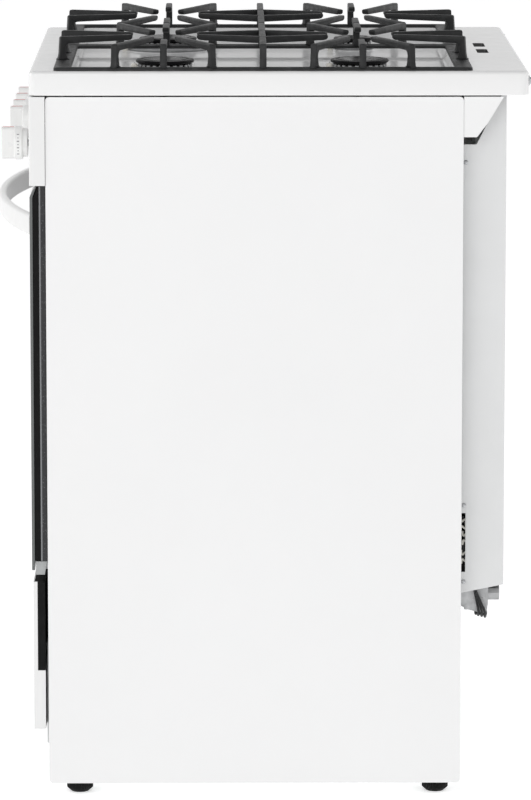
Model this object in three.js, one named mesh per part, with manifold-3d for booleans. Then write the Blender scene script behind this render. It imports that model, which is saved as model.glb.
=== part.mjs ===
// A freestanding gas range, 600 mm class: four sealed burners under two cast grates, a gas oven with a
// drop-down door, and a storage drawer. Millimetres, +Z up, front towards -Y.
// The origin is on the floor, midway between the outermost point of the door handle and the cooktop's rear edge.
import * as THREE from "three";
import { mergeVertices } from "three/addons/utils/BufferGeometryUtils.js";
import Module from "manifold-3d";

const wasm = await Module();
wasm.setup();

// ---------------------------------------------------------------- driving dimensions

// Overall. Inside the range, y is counted back from the front plane of the fascia and the door.
const cooktopWidth = 606;
const cooktopDepth = 615;
const cooktopHeight = 914;
const skirtHeight = 30;
const deckOverhang = 3;
const rearOverhang = 80;
const bodyFront = 20;
const footHeight = 17.5;
const sheet = 1;
const gap = 0.3;

// Casing
const panelFlange = 4;
const panelCorner = 5;
const panelTopGap = 2;
const basePanHeight = 26;
const railWidth = 16;
const railHeight = 16;
const footInset = 35;
const frontFootSetback = 37.5;
const rearFootSetback = 30;
const footRadius = 16.5;
const footToeRadius = 11;
const footToeHeight = 4.5;
const footStemRadius = 5;
const footTravel = 20;
const coverInset = 28;
const coverDepth = 54;
const coverBottom = 254;
const coverBottomRise = 11;
const coverShoulderDrop = 64;
const coverSlotBottom = 281;
const coverSlotHeight = 75;
const coverSlotDepth = 6;
const earHeight = 50;
const earReach = 49;

// Fascia, knobs and gas line
const fasciaHeight = 110;
const fasciaDepth = 19.6;
const fasciaSkin = 2;
const fasciaGap = 1.5;
const knobEndMargin = 63;
const knobPitch = 80;
const burnerKnobCount = 4;
const knobDrop = 63.5;
const knobRadius = 20.9;
const knobCollarRadius = 17.8;
const knobReach = 36.5;
const knobCollarDepth = 10;
const knobSkirtDepth = 10.5;
const knobBladeWidth = 11;
const knobTravel = 3;
const knobStandoff = 3.6;
const stemRadius = 4;
const stemTip = 20;
const stemClearance = 0.4;
const valveFront = 26;
const valveDepth = 50;
const valveHalf = 14;
const manifoldRadius = 9;
const manifoldSetback = 62;
const supplyRadius = 7;
const tubeRadius = 3;
const supplyX = 200;
const supplyDrop = 33;
const supplySetback = 22;
const regulatorBottom = 222;
const regulatorHeight = 38;
const plateDip = 5;
const inletRadius = 11;
const harnessX = 240;
const wireRadius = 2.2;

// Door
const drawerBottom = 86;
const drawerHeight = 188;
const drawerDoorGap = 14.5;
const doorSideGap = 1.5;
const doorGlass = 3.7;
const doorFrameBack = 11;
const doorLinerFront = 13.5;
const doorEdgeDepth = 19.6;
const doorPlugBack = 29;
const doorPlugInset = 14;
const linerSheet = 1.5;
const doorStile = 94;
const doorBevelHeight = 10.5;
const doorBevelDepth = 5;
const windowMargin = 12;
const windowThickness = 4;
const channelDrop = 5.5;
const channelHeight = 17;
const pivotSetback = 12;
const pinRadius = 3;
const hingeInset = 30;
const hingeThickness = 6;
const hingeEye = 5;
const hingeHook = 9;
const handleReach = 50.5;
const handleHalfSpan = 285;
const handleThickness = 10;
const handleHeight = 27;
const handleDrop = 50;

// Oven
const frameSetback = 38;
const frameThickness = 2;
const frameOverlap = 20;
const mouthBorder = 41;
const wallSpace = 62;
const ovenRearSpace = 55;
const insulation = 24;
const linerFlange = 1.5;
const gasketWidth = 9;
const ledgeWidth = 12;
const ledgeThickness = 3;
const ledgeCount = 4;
const ledgeFirst = 60;
const ledgeHeadroom = 130.5;
const rackLevels = [1, 3];
const rackClearance = 6;
const rackWire = 3;
const rackRim = 6;
const rackWireCount = 11;
const flueWidth = 108;
const flueHeight = 22;
const flueRiserWidth = 184;
const flueRiserDepth = 48;
const ventLength = 51;
const ventWidth = 12.9;
const ventPitch = 83;
const ventRearMargin = 44;
const burnerTubeRadius = 16;
const burnerBoxDepth = 56;
const burnerBoxInset = 10;
const floorThickness = 2;

// Drawer
const drawerSkin = 1.5;
const drawerFrontDepth = 14.7;
const drawerSetback = 1.5;
const drawerLipHeight = 75;
const drawerReturn = 5.1;
const drawerBoxInset = 38;
const drawerBoxHeight = 130;
const drawerRearSpace = 63.5;

// Hob
const deckCorner = 10;
const wellDepth = 15;
const wellRim = 17;
const wellFrontRim = 13.6;
const wellCorner = 14;
const ridgeWidth = 24;
const ridgeHeight = 2.5;
const burnerPitchX = 300;
const burnerPitchY = 245;
const burnerHole = 16;
const mixerRadius = 12;
const mixerDrop = 6;
const flangeHeight = 5.5;
const crownHeight = 5;
const capHeight = 5.5;
const grateFront = 30.4;
const grateRearMargin = 69;
const grateSideMargin = 5;
const grateSplit = 2;
const grateRail = 4;
const grateEndRail = 21;
const grateSideRail = 10;
const grateTop = 33;
const barWidth = 7.5;
const barHeight = 9;
const legPitch = 61;
const fingerTip = 41;
const fingerSpread = 44;
const fingerPinch = 16;
const straightFinger = 78;
const electrodeRadius = 3;
const electrodeHeight = 10;
const electrodeClear = 5;
const electrodeAngle = 1.2;

// ---------------------------------------------------------------- places that follow from them

const frontPlane = (handleReach - cooktopDepth) / 2;
const topHalf = cooktopWidth / 2;
const bodyHalf = topHalf - deckOverhang;
const bodyRear = cooktopDepth - rearOverhang;
const skirtBottom = cooktopHeight - skirtHeight;
const panelTop = skirtBottom - panelTopGap;
const insideHalf = bodyHalf - sheet - gap;
const fasciaTop = skirtBottom - fasciaGap;
const fasciaBottom = fasciaTop - fasciaHeight;
const knobHeight = fasciaTop - knobDrop;
const drawerTop = drawerBottom + drawerHeight;
const doorBottom = drawerTop + drawerDoorGap;
const doorTop = fasciaBottom - fasciaGap;
const doorHalf = bodyHalf - panelFlange - doorSideGap;
const channelBottom = doorBottom - channelDrop;
const channelTop = channelBottom + channelHeight;
const pivotHeight = channelBottom + channelHeight / 2 - 0.5;
const mouthBottom = doorBottom + mouthBorder;
const mouthTop = doorTop - mouthBorder;
const mouthHalf = bodyHalf - wallSpace;
const ovenFront = frameSetback + frameThickness + gap;
const ovenBack = bodyRear - ovenRearSpace;
const ovenBurnerHeight = mouthBottom - burnerTubeRadius - 10;
const backPanelY = bodyRear - 3;
const wellFloor = cooktopHeight - wellDepth;
const grateRear = cooktopDepth - grateRearMargin;
const grateMid = (grateFront + grateRear) / 2;
const grateOuter = topHalf - grateSideMargin;
const wellHalf = topHalf - wellRim;
const wellFront = grateFront + wellFrontRim;
const wellRear = grateRear - wellFrontRim;
const flueTop = mouthTop - 10;
const ventY = cooktopDepth - ventRearMargin;
const ledgePitch = (mouthTop - mouthBottom - ledgeFirst - ledgeHeadroom) / (ledgeCount - 1);
const ledgeZ = (level) => mouthBottom + ledgeFirst + level * ledgePitch;
const hingeX = bodyHalf - hingeInset;
const supplyRun = fasciaTop - supplyDrop;
const supplyRise = bodyRear + supplySetback;
const manifoldEnd = topHalf - knobEndMargin + valveHalf + 8;
const baseTop = footHeight + gap + basePanHeight;
const coverBack = bodyRear + gap + coverDepth;
const coverHalf = bodyHalf - coverInset;
const burners = [
  { name: "right_front", x: burnerPitchX / 2, y: grateMid - burnerPitchY / 2, flange: 36, cap: 36.8 },
  { name: "right_rear", x: burnerPitchX / 2, y: grateMid + burnerPitchY / 2, flange: 36, cap: 36.8 },
  { name: "left_front", x: -burnerPitchX / 2, y: grateMid - burnerPitchY / 2, flange: 55, cap: 38 },
  { name: "left_rear", x: -burnerPitchX / 2, y: grateMid + burnerPitchY / 2, flange: 28, cap: 26 },
];
const knobs = Array.from({ length: burnerKnobCount }, (_, i) => ({
  name: ["left_front", "left_rear", "right_rear", "right_front"][i],
  x: -topHalf + knobEndMargin + i * knobPitch,
}));
knobs.push({ name: "oven", x: topHalf - knobEndMargin });

// ---------------------------------------------------------------- materials

const material = (color, roughness, metalness = 0) =>
  new THREE.MeshStandardMaterial({ color, roughness, metalness });
const white = material(0xf1f1f0, 0.3);
const whitePlastic = material(0xf0f0ef, 0.38);
const galvanised = material(0xc9cccb, 0.45, 0.8);
const castIron = material(0x2b2d2c, 0.7);
const blackEnamel = material(0x141515, 0.25);
const aluminium = material(0xb4b6b5, 0.4, 0.9);
const blackGlass = material(0x0b0c0c, 0.08);
const clearGlass = material(0x3a3d3c, 0.1);
const blackSteel = material(0x2a2b2b, 0.5);
const chrome = material(0xd5d7d8, 0.2, 1);
const wool = material(0xd8cf9c, 0.95);
const rope = material(0x55534e, 0.9);
const blackRubber = material(0x0e0e0e, 0.8);
const brass = material(0xb08d4a, 0.35, 0.9);
const blackWire = material(0x101010, 0.6);

// ---------------------------------------------------------------- solids

// A closed three.js geometry as a manifold solid.
function solid(geometry) {
  const bare = geometry.clone();
  bare.deleteAttribute("normal");
  bare.deleteAttribute("uv");
  const merged = mergeVertices(bare, 1e-4);
  return new wasm.Manifold(
    new wasm.Mesh({
      numProp: 3,
      vertProperties: merged.attributes.position.array,
      triVerts: new Uint32Array(merged.index.array),
    }),
  );
}

// The three.js geometry of a manifold solid.
function geometryOf(made) {
  const mesh = made.getMesh();
  const geometry = new THREE.BufferGeometry();
  geometry.setAttribute("position", new THREE.BufferAttribute(mesh.vertProperties, mesh.numProp));
  geometry.setIndex(new THREE.BufferAttribute(mesh.triVerts, 1));
  geometry.computeVertexNormals();
  return geometry;
}

const block = (x0, x1, y0, y1, z0, z1) =>
  solid(
    new THREE.BoxGeometry(Math.abs(x1 - x0), y1 - y0, z1 - z0).translate(
      (x0 + x1) / 2,
      (y0 + y1) / 2,
      (z0 + z1) / 2,
    ),
  );

const outline = (points) => new THREE.Shape(points.map(([a, b]) => new THREE.Vector2(a, b)));

function roundedOutline(a0, b0, a1, b1, r) {
  const shape = new THREE.Shape();
  shape.moveTo(a0 + r, b0);
  shape.absarc(a1 - r, b0 + r, r, -Math.PI / 2, 0);
  shape.absarc(a1 - r, b1 - r, r, 0, Math.PI / 2);
  shape.absarc(a0 + r, b1 - r, r, Math.PI / 2, Math.PI);
  shape.absarc(a0 + r, b0 + r, r, Math.PI, 1.5 * Math.PI);
  return shape;
}

const extrude = (shape, depth, curveSegments = 4) =>
  new THREE.ExtrudeGeometry(shape, { depth, bevelEnabled: false, curveSegments });

// A (y, z) outline carried from x0 to x1.
function alongX(shape, x0, x1, curveSegments) {
  const turn = new THREE.Matrix4().makeBasis(
    new THREE.Vector3(0, 1, 0),
    new THREE.Vector3(0, 0, 1),
    new THREE.Vector3(1, 0, 0),
  );
  const low = Math.min(x0, x1);
  return solid(extrude(shape, Math.abs(x1 - x0), curveSegments).applyMatrix4(turn).translate(low, 0, 0));
}

// An (x, z) outline carried from y0 to y1.
function alongY(shape, y0, y1, curveSegments) {
  const turn = new THREE.Matrix4().makeBasis(
    new THREE.Vector3(1, 0, 0),
    new THREE.Vector3(0, 0, 1),
    new THREE.Vector3(0, -1, 0),
  );
  return solid(extrude(shape, y1 - y0, curveSegments).applyMatrix4(turn).translate(0, y1, 0));
}

// An (x, y) outline carried from z0 to z1.
const alongZ = (shape, z0, z1, curveSegments) =>
  solid(extrude(shape, z1 - z0, curveSegments).translate(0, 0, z0));

// A profile of (radius, height) points turned round the Z axis.
function turned(profile, segments = 24) {
  const points = profile.map(([r, z]) => new THREE.Vector2(r, z));
  return solid(new THREE.LatheGeometry(points, segments).rotateX(Math.PI / 2));
}

// The same, round the Y axis, with heights counted towards +Y.
function turnedY(profile, segments = 24) {
  const points = profile.map(([r, y]) => new THREE.Vector2(r, y));
  return solid(new THREE.LatheGeometry(points, segments));
}

const rodX = (x0, x1, y, z, r, segments = 16) =>
  solid(
    new THREE.CylinderGeometry(r, r, Math.abs(x1 - x0), segments)
      .rotateZ(Math.PI / 2)
      .translate((x0 + x1) / 2, y, z),
  );
const rodY = (x, y0, y1, z, r, segments = 16) =>
  solid(new THREE.CylinderGeometry(r, r, y1 - y0, segments).translate(x, (y0 + y1) / 2, z));
const rodZ = (x, y, z0, z1, r, segments = 16) =>
  solid(
    new THREE.CylinderGeometry(r, r, z1 - z0, segments)
      .rotateX(Math.PI / 2)
      .translate(x, y, (z0 + z1) / 2),
  );

// A round pipe along straight runs joined by bends of one radius.
function pipe(corners, radius, bend, sides = 8) {
  const at = corners.map((c) => new THREE.Vector3(...c));
  const path = new THREE.CurvePath();
  let from = at[0];
  for (let i = 1; i < at.length - 1; i++) {
    const before = at[i].clone().add(at[i - 1].clone().sub(at[i]).setLength(bend));
    const after = at[i].clone().add(at[i + 1].clone().sub(at[i]).setLength(bend));
    path.add(new THREE.LineCurve3(from, before));
    path.add(new THREE.QuadraticBezierCurve3(before, at[i], after));
    from = after;
  }
  path.add(new THREE.LineCurve3(from, at.at(-1)));
  const ring = Array.from({ length: sides }, (_, i) => (2 * Math.PI * i) / sides).map(
    (a) => new THREE.Vector2(radius * Math.cos(a), radius * Math.sin(a)),
  );
  const steps = Math.ceil(path.getLength() / (3 * radius));
  const extruded = new THREE.ExtrudeGeometry(new THREE.Shape(ring), {
    steps: Math.min(80, Math.max(16, steps)),
    extrudePath: path,
    bevelEnabled: false,
  });
  return solid(extruded);
}

const join = (pieces) => pieces.reduce((a, b) => a.add(b));
const cut = (from, tools) => tools.reduce((a, b) => a.subtract(b), from);

const range = new THREE.Group();
const assembly = new THREE.Group();
assembly.position.y = frontPlane;
range.add(assembly);

function place(name, made, look, at = [0, 0, 0]) {
  const mesh = new THREE.Mesh(geometryOf(made), look);
  mesh.name = name;
  mesh.position.set(...at);
  assembly.add(mesh);
}

// ---------------------------------------------------------------- casing

// A flat pressed panel with a narrow flange turned in all round.
function sidePanel(side) {
  const face = side * bodyHalf;
  const flangeEnd = side * (bodyHalf - panelFlange);
  const outer = roundedOutline(bodyFront, footHeight, bodyRear, panelTop, panelCorner);
  const inner = roundedOutline(
    bodyFront + sheet,
    footHeight + sheet,
    bodyRear - sheet,
    panelTop - sheet,
    panelCorner - sheet,
  );
  return alongX(outer, flangeEnd, face).subtract(alongX(inner, flangeEnd - side, face - side * sheet));
}

const feet = [-1, 1].flatMap((side) =>
  [bodyFront + frontFootSetback, bodyRear - rearFootSetback].map((y, i) => ({
    name: `foot_${["front", "rear"][i]}_${side < 0 ? "left" : "right"}`,
    x: side * (bodyHalf - footInset),
    y,
  })),
);

// The bottom tray, with the two runners that carry the drawer.
function basePan() {
  const half = bodyHalf - panelFlange - gap;
  const front = bodyFront + panelFlange;
  const back = backPanelY - gap;
  const bottom = footHeight + gap;
  const tray = block(-half, half, front, back, bottom, baseTop).subtract(
    block(-half + sheet, half - sheet, front + sheet, back - sheet, bottom + 1.5, baseTop + 1),
  );
  const runner = bodyHalf - drawerBoxInset - railWidth;
  const runners = [-1, 1].map((side) =>
    block(
      side * runner - railWidth / 2,
      side * runner + railWidth / 2,
      front,
      back,
      bottom + 1,
      baseTop + railHeight,
    ),
  );
  const holes = feet.map((f) => rodZ(f.x, f.y, 0, baseTop, footStemRadius + stemClearance));
  return cut(join([tray, ...runners]), holes);
}

function foot() {
  const top = footHeight - gap;
  return turned([
    [0, 0],
    [footToeRadius, 0],
    [footRadius, footToeHeight],
    [footRadius, top],
    [footStemRadius, top],
    [footStemRadius, top + footTravel + 6],
    [0, top + footTravel + 6],
  ], 20);
}

// The upright sheet that closes the back, with the flue, pipe and wiring openings.
function backPanel() {
  const plate = block(-insideHalf, insideHalf, backPanelY, backPanelY + sheet, baseTop + gap, panelTop - 8);
  return cut(plate, [
    block(
      -flueWidth / 2 - 2,
      flueWidth / 2 + 2,
      backPanelY - 1,
      backPanelY + 2,
      flueTop - flueHeight - 4,
      flueTop + 2,
    ),
    block(supplyX - 14, supplyX + 14, backPanelY - 1, backPanelY + 2, supplyRun - 14, panelTop),
    block(
      harnessX - 14,
      harnessX + 14,
      backPanelY - 1,
      backPanelY + 2,
      coverSlotBottom + coverSlotHeight + 20,
      coverSlotBottom + coverSlotHeight + 46,
    ),
  ]);
}

// The shallow galvanised box on the back: a rear wall and two side walls, open at the top, bottom and front.
// Its right side has the slot where the leads come to the edge.
function rearCover() {
  const front = bodyRear + gap;
  const shoulder = skirtBottom - coverShoulderDrop;
  const profile = outline([
    [front, coverBottom],
    [coverBack, coverBottom + coverBottomRise],
    [coverBack, skirtBottom - gap],
    [front + earReach, skirtBottom - gap],
    [front + 17, shoulder],
    [front, shoulder],
  ]);
  const hollow = block(-coverHalf + sheet, coverHalf - sheet, front - 1, coverBack - sheet, 0, cooktopHeight);
  const slot = block(
    coverHalf - sheet - 1,
    coverHalf + 1,
    front - 1,
    front + coverSlotDepth,
    coverSlotBottom,
    coverSlotBottom + coverSlotHeight,
  );
  return alongX(profile, -coverHalf, coverHalf).subtract(hollow).subtract(slot);
}

// The white rear brace: a cross rail with an ear at each side that closes the corner under the cooktop.
function rearBrace() {
  const front = bodyRear + gap;
  const ear = outline([
    [front, panelTop - earHeight],
    [front + 16, panelTop - earHeight],
    [front + 29, panelTop - earHeight + 17],
    [front + earReach, panelTop],
    [front, panelTop],
  ]);
  const outside = bodyHalf - 1;
  const ears = [-1, 1].map((side) => alongX(ear, side * outside, side * (outside - 1.5)));
  const rail = block(-outside + 0.5, outside - 0.5, front, front + 1.5, panelTop - 20, panelTop);
  return join([rail, ...ears]);
}

// ---------------------------------------------------------------- fascia and gas line

function fascia() {
  const half = topHalf;
  const body = alongZ(roundedOutline(-half, 0, half, fasciaDepth + 8, 3), fasciaBottom, fasciaTop);
  const trimmed = body.subtract(block(-half - 1, half + 1, fasciaDepth, fasciaDepth + 20, 0, cooktopHeight));
  const hollow = block(
    -half + fasciaSkin,
    half - fasciaSkin,
    fasciaSkin,
    fasciaDepth + 1,
    fasciaBottom + fasciaSkin,
    fasciaTop - fasciaSkin,
  );
  const holes = knobs.map((k) => rodY(k.x, -1, fasciaSkin + 1, knobHeight, stemRadius + 2));
  return cut(trimmed, [hollow, ...holes]);
}

// The knob, its axis on the Y axis and the fascia's face at y = 0: collar, skirt and grip blade.
function knob() {
  const skirtBack = -knobCollarDepth;
  const skirtFront = skirtBack - knobSkirtDepth;
  const round = turnedY([
    [0, skirtFront],
    [knobRadius - 0.6, skirtFront],
    [knobRadius, skirtBack],
    [knobCollarRadius, skirtBack],
    [knobCollarRadius, -knobStandoff],
    [0, -knobStandoff],
  ], 24);
  const blade = block(
    -knobBladeWidth / 2,
    knobBladeWidth / 2,
    -knobReach,
    skirtFront + 1,
    -knobRadius + 1,
    knobRadius - 1,
  );
  const bore = rodY(0, -stemTip - knobTravel - 1, 0, 0, stemRadius + stemClearance);
  return round.add(blade).subtract(bore);
}

function stem() {
  return rodY(0, -stemTip, valveFront + 6, 0, stemRadius);
}

// The manifold pipe with a valve body at each knob.
function gasManifold() {
  const z = knobHeight;
  const bodies = knobs.map((k) =>
    block(k.x - valveHalf, k.x + valveHalf, valveFront, valveFront + valveDepth, z - valveHalf, z + valveHalf),
  );
  const bores = knobs.map((k) => rodY(k.x, valveFront - 1, valveFront + 7, z, stemRadius + stemClearance));
  return cut(join([rodX(-manifoldEnd, manifoldEnd, manifoldSetback, z, manifoldRadius, 12), ...bodies]), bores);
}


// The pressure regulator behind the back panel: body, dome, threaded inlet facing the rear, and the side plate
// that carries it, its lower edge swept down towards the rear.
function regulator() {
  const low = regulatorBottom;
  const front = bodyRear + 1.5;
  const rear = supplyRise + 16;
  const body = block(
    supplyX - 22,
    supplyX + 22,
    supplyRise - 14,
    supplyRise + 14,
    low,
    low + regulatorHeight,
  );
  const plate = outline([
    [front, low + 6],
    [front + 12, low],
    [front + 24, low - 3],
    [rear - 2, low - plateDip],
    [rear, low + 8],
    [rear, low + regulatorHeight],
    [front, low + regulatorHeight],
  ]);
  const side = alongX(plate, supplyX + 21, supplyX + 23);
  const dome = rodZ(supplyX, supplyRise, low + 12, low + 26, 20, 20);
  const inlet = rodY(supplyX, supplyRise + 10, supplyRise + 31, low + 19, inletRadius, 12);
  const bore = rodY(supplyX, supplyRise + 12, supplyRise + 32, low + 19, inletRadius - 4, 12);
  return join([body, side, dome, inlet]).subtract(bore);
}

// The pipe from the regulator up and forward to the end of the manifold.
function gasLine() {
  const side = topHalf - 28;
  return pipe(
    [
      [supplyX, supplyRise, regulatorBottom + regulatorHeight + gap],
      [supplyX, supplyRise, supplyRun],
      [supplyX, ovenBack + 34, supplyRun],
      [side, ovenBack + 10, supplyRun],
      [side, manifoldSetback, supplyRun],
      [side, manifoldSetback, knobHeight],
      [manifoldEnd + gap, manifoldSetback, knobHeight],
    ],
    supplyRadius,
    10,
  );
}

// Three insulated wires through the back panel, down inside the rear cover and round the regulator's plate to a
// plug, held by a clip, with the lead that loops into the cover's slot and the fibre shield behind it.
function wiringHarness() {
  const top = coverSlotBottom + coverSlotHeight + 33;
  const rear = bodyRear + 19;
  const hook = regulatorBottom - plateDip - wireRadius - 2 * gap;
  const end = supplyX + 6;
  const wires = [0, 1, 2].map((i) => {
    const x = harnessX + (i - 1) * (2 * wireRadius + 0.4);
    const low = rear + 7 + 4 * i;
    return pipe(
      [
        [x, backPanelY - 12, top],
        [x, rear, top],
        [x, rear, coverBottom + 2],
        [x, low, hook + 8],
        [x - 12, low, hook],
        [end, low, hook],
      ],
      wireRadius,
      7,
    );
  });
  const lead = pipe(
    [
      [harnessX, rear, coverSlotBottom + 4],
      [coverHalf - 8, bodyRear + 5, coverSlotBottom + 12],
      [coverHalf - 6, bodyRear + 4, coverSlotBottom + 36],
      [coverHalf - 8, bodyRear + 9, coverSlotBottom + 50],
      [coverHalf - 6, bodyRear + 4, coverSlotBottom + coverSlotHeight - 6],
    ],
    wireRadius - 0.4,
    5,
  );
  const shieldX = coverHalf - 22;
  const clip = block(
    harnessX - 10,
    shieldX + 1.2,
    rear - 5,
    rear + 5,
    coverBottom + 14,
    coverBottom + 22,
  );
  const plug = block(end - 14, end + 2, rear + 3, rear + 19, hook - wireRadius, hook + 3);
  const shield = block(
    shieldX,
    shieldX + 1.2,
    bodyRear + 1.5,
    bodyRear + 27,
    coverBottom + 16,
    coverSlotBottom + coverSlotHeight + 6,
  );
  return join([clip, plug, lead, shield, ...wires]);
}

// The strap under each side of the hob, with its orifice holders, spark electrodes and the tubes from their valves.
function burnerBracket(side) {
  const x = (side * burnerPitchX) / 2;
  const near = burners.filter((b) => Math.sign(b.x) === side);
  const top = wellFloor - 1.2 - mixerDrop - gap;
  const strapTop = top - 10;
  const strap = block(x - 10, x + 10, near[0].y - 30, near[1].y + 30, strapTop - 1.5, strapTop);
  const holders = near.map((b) => rodZ(b.x, b.y, strapTop - 1, top, 14, 16));
  const tubes = near.map((b) => {
    const i = knobs.findIndex((k) => k.name === b.name);
    const level = knobHeight + valveHalf + 12 + 7.5 * i;
    return pipe(
      [
        [knobs[i].x, manifoldSetback, knobHeight + valveHalf + gap],
        [knobs[i].x, manifoldSetback, level],
        [b.x, b.y, level],
        [b.x, b.y, strapTop - 0.5],
      ],
      tubeRadius,
      5,
      6,
    );
  });
  const electrodes = near.flatMap((b) => {
    const [ex, ey] = igniterPlace(b);
    return [
      rodZ(ex, ey, strapTop - 1.5, wellFloor + electrodeHeight, electrodeRadius, 10),
      bar([b.x, b.y], [ex, ey], strapTop - 1.5, strapTop, 8),
    ];
  });
  return join([strap, ...holders, ...tubes, ...electrodes]);
}

// ---------------------------------------------------------------- hob

// The one-piece cooktop: a rounded deck with a skirt, a sunk well split by a low ridge, burner holes and two vents.
function cooktop() {
  const skin = 1.2;
  const outer = alongZ(roundedOutline(-topHalf, 0, topHalf, cooktopDepth, deckCorner), skirtBottom, cooktopHeight);
  const under = alongZ(
    roundedOutline(-topHalf + skin, skin, topHalf - skin, cooktopDepth - skin, deckCorner - skin),
    skirtBottom - 1,
    cooktopHeight - skin,
  );
  const wellOutline = (grow) =>
    roundedOutline(-wellHalf - grow, wellFront - grow, wellHalf + grow, wellRear + grow, wellCorner + grow);
  const tray = alongZ(wellOutline(skin), wellFloor - skin, cooktopHeight - skin / 2);
  const ridge = block(-ridgeWidth / 2, ridgeWidth / 2, 0, cooktopDepth, 0, wellFloor + ridgeHeight);
  const well = alongZ(wellOutline(0), wellFloor, cooktopHeight + 1).subtract(ridge);
  const through = (x, y, r) => rodZ(x, y, wellFloor - 4, wellFloor + 4, r, 20);
  const vents = [-1, 1].map((side) => {
    const x = (side * ventPitch) / 2;
    return block(
      x - ventLength / 2,
      x + ventLength / 2,
      ventY - ventWidth / 2,
      ventY + ventWidth / 2,
      cooktopHeight - 4,
      cooktopHeight + 1,
    );
  });
  return cut(outer.subtract(under).add(tray), [
    well,
    ...burners.map((b) => through(b.x, b.y, burnerHole)),
    ...burners.map((b) => through(...igniterPlace(b), electrodeRadius + 1)),
    ...vents,
  ]);
}

const igniterPlace = (b) => [
  b.x + (b.flange + electrodeClear) * Math.cos(electrodeAngle),
  b.y - (b.flange + electrodeClear) * Math.sin(electrodeAngle),
];

// The aluminium burner head, its foot on the well floor at z = 0.
function burnerHead(b) {
  const crown = b.cap - 4;
  return turned([
    [8, -mixerDrop],
    [mixerRadius, -mixerDrop],
    [mixerRadius, gap],
    [b.flange, gap],
    [b.flange, flangeHeight - 1],
    [crown, flangeHeight],
    [crown, flangeHeight + crownHeight],
    [crown - 5, flangeHeight + crownHeight],
    [crown - 7, flangeHeight - 2],
    [8, flangeHeight - 2],
    [8, -mixerDrop],
  ], 20);
}

function burnerCap(b) {
  const bottom = flangeHeight + crownHeight + gap;
  return turned([
    [0, bottom],
    [b.cap - 1.5, bottom],
    [b.cap, bottom + 1.5],
    [b.cap, bottom + 2.5],
    [b.cap - 3, bottom + capHeight - 1],
    [0, bottom + capHeight],
  ]);
}

// A straight bar of the grate, from one plan point to another.
function bar(from, to, z0, z1, width = barWidth) {
  const a = new THREE.Vector2(...from);
  const b = new THREE.Vector2(...to);
  const across = b.clone().sub(a).normalize().rotateAround(new THREE.Vector2(), Math.PI / 2);
  const w = across.multiplyScalar(width / 2);
  const corners = [a.clone().sub(w), b.clone().sub(w), b.clone().add(w), a.clone().add(w)];
  return alongZ(new THREE.Shape(corners), z0, z1);
}

// One cast grate: a base ring, legs up its four sides, and bars and fingers over its two burners.
function grate(side) {
  const outer = side * grateOuter;
  const inner = side * grateSplit;
  const low = cooktopHeight + gap;
  const railTop = low + grateRail;
  const top = cooktopHeight + grateTop;
  const under = top - barHeight;
  const outerRail = outer - side * (barWidth / 2);
  const innerRail = inner + side * (barWidth / 2);
  const ring = block(outer, inner, grateFront, grateRear, low, railTop).subtract(
    block(
      outer - side * grateSideRail,
      inner + side * grateSideRail,
      grateFront + grateEndRail,
      grateRear - grateEndRail,
      low - 1,
      railTop + 1,
    ),
  );
  const leg = (x, y) =>
    block(x - barWidth / 2, x + barWidth / 2, y - barWidth / 2, y + barWidth / 2, railTop - 1, top);
  const pieces = [ring, bar([outer, grateMid], [inner, grateMid], under, top)];
  pieces.push(leg(outerRail, grateMid), leg(innerRail, grateMid));
  for (const b of burners.filter((one) => Math.sign(one.x) === side)) {
    const end = b.y < grateMid ? -1 : 1;
    const endRail = (end < 0 ? grateFront : grateRear) - end * 11;
    for (const [rail, way] of [
      [outerRail, side],
      [innerRail, -side],
    ]) {
      pieces.push(leg(rail, b.y));
      pieces.push(bar([rail, b.y], [b.x + way * straightFinger, b.y], under, top));
      for (const step of [-1, 1]) {
        const y = b.y + step * legPitch;
        pieces.push(leg(rail, y));
        pieces.push(bar([rail, y], [b.x + way * fingerTip, b.y + step * fingerPinch], under, top));
      }
    }
    for (const across of [-1, 1]) {
      const x = b.x + across * fingerSpread;
      const tip = b.x + across * fingerPinch;
      pieces.push(leg(x, endRail));
      pieces.push(bar([x, endRail], [tip, b.y + end * fingerTip], under, top));
      pieces.push(bar([x, grateMid], [tip, b.y - end * fingerTip], under, top));
    }
  }
  return join(pieces);
}

// ---------------------------------------------------------------- oven

const mouth = (grow) =>
  roundedOutline(-mouthHalf - grow, mouthBottom - grow, mouthHalf + grow, mouthTop + grow, 6 + grow);

// The steel front of the body, round the oven mouth, with slots for the hinge arms.
function frontFrame() {
  const plate = block(
    -insideHalf,
    insideHalf,
    frameSetback,
    frameSetback + frameThickness,
    drawerTop - frameOverlap,
    doorTop,
  );
  const slots = [-1, 1].map((side) =>
    block(
      side * hingeX - hingeThickness / 2 - gap,
      side * hingeX + hingeThickness / 2 + gap,
      frameSetback - 1,
      frameSetback + frameThickness + 1,
      pivotHeight - hingeEye - gap,
      pivotHeight + hingeEye + gap,
    ),
  );
  return cut(plate, [alongY(mouth(0), frameSetback - 1, frameSetback + frameThickness + 1), ...slots]);
}

// The enamelled oven cavity: an open-fronted box with a front flange and four rack ledges a side.
function ovenLiner() {
  const shell = join([
    alongY(mouth(sheet), ovenFront, ovenBack),
    alongY(mouth(18), ovenFront, ovenFront + linerFlange),
  ]).subtract(alongY(mouth(0), ovenFront - 1, ovenBack - sheet));
  const ledges = [-1, 1].flatMap((side) =>
    Array.from({ length: ledgeCount }, (_, i) =>
      block(
        side * (mouthHalf + sheet / 2),
        side * (mouthHalf - ledgeWidth),
        ovenFront + 25,
        ovenBack - 6,
        ledgeZ(i) - ledgeThickness,
        ledgeZ(i),
      ),
    ),
  );
  return cut(join([shell, ...ledges]), [
    block(
      -flueWidth / 2 + 2,
      flueWidth / 2 - 2,
      ovenBack - 3,
      ovenBack + 1,
      flueTop - flueHeight + 2,
      flueTop - 2,
    ),
    block(-150, 150, ovenFront + 80, ovenBack - 80, mouthBottom - 3, mouthBottom + 3),
  ]);
}

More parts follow.
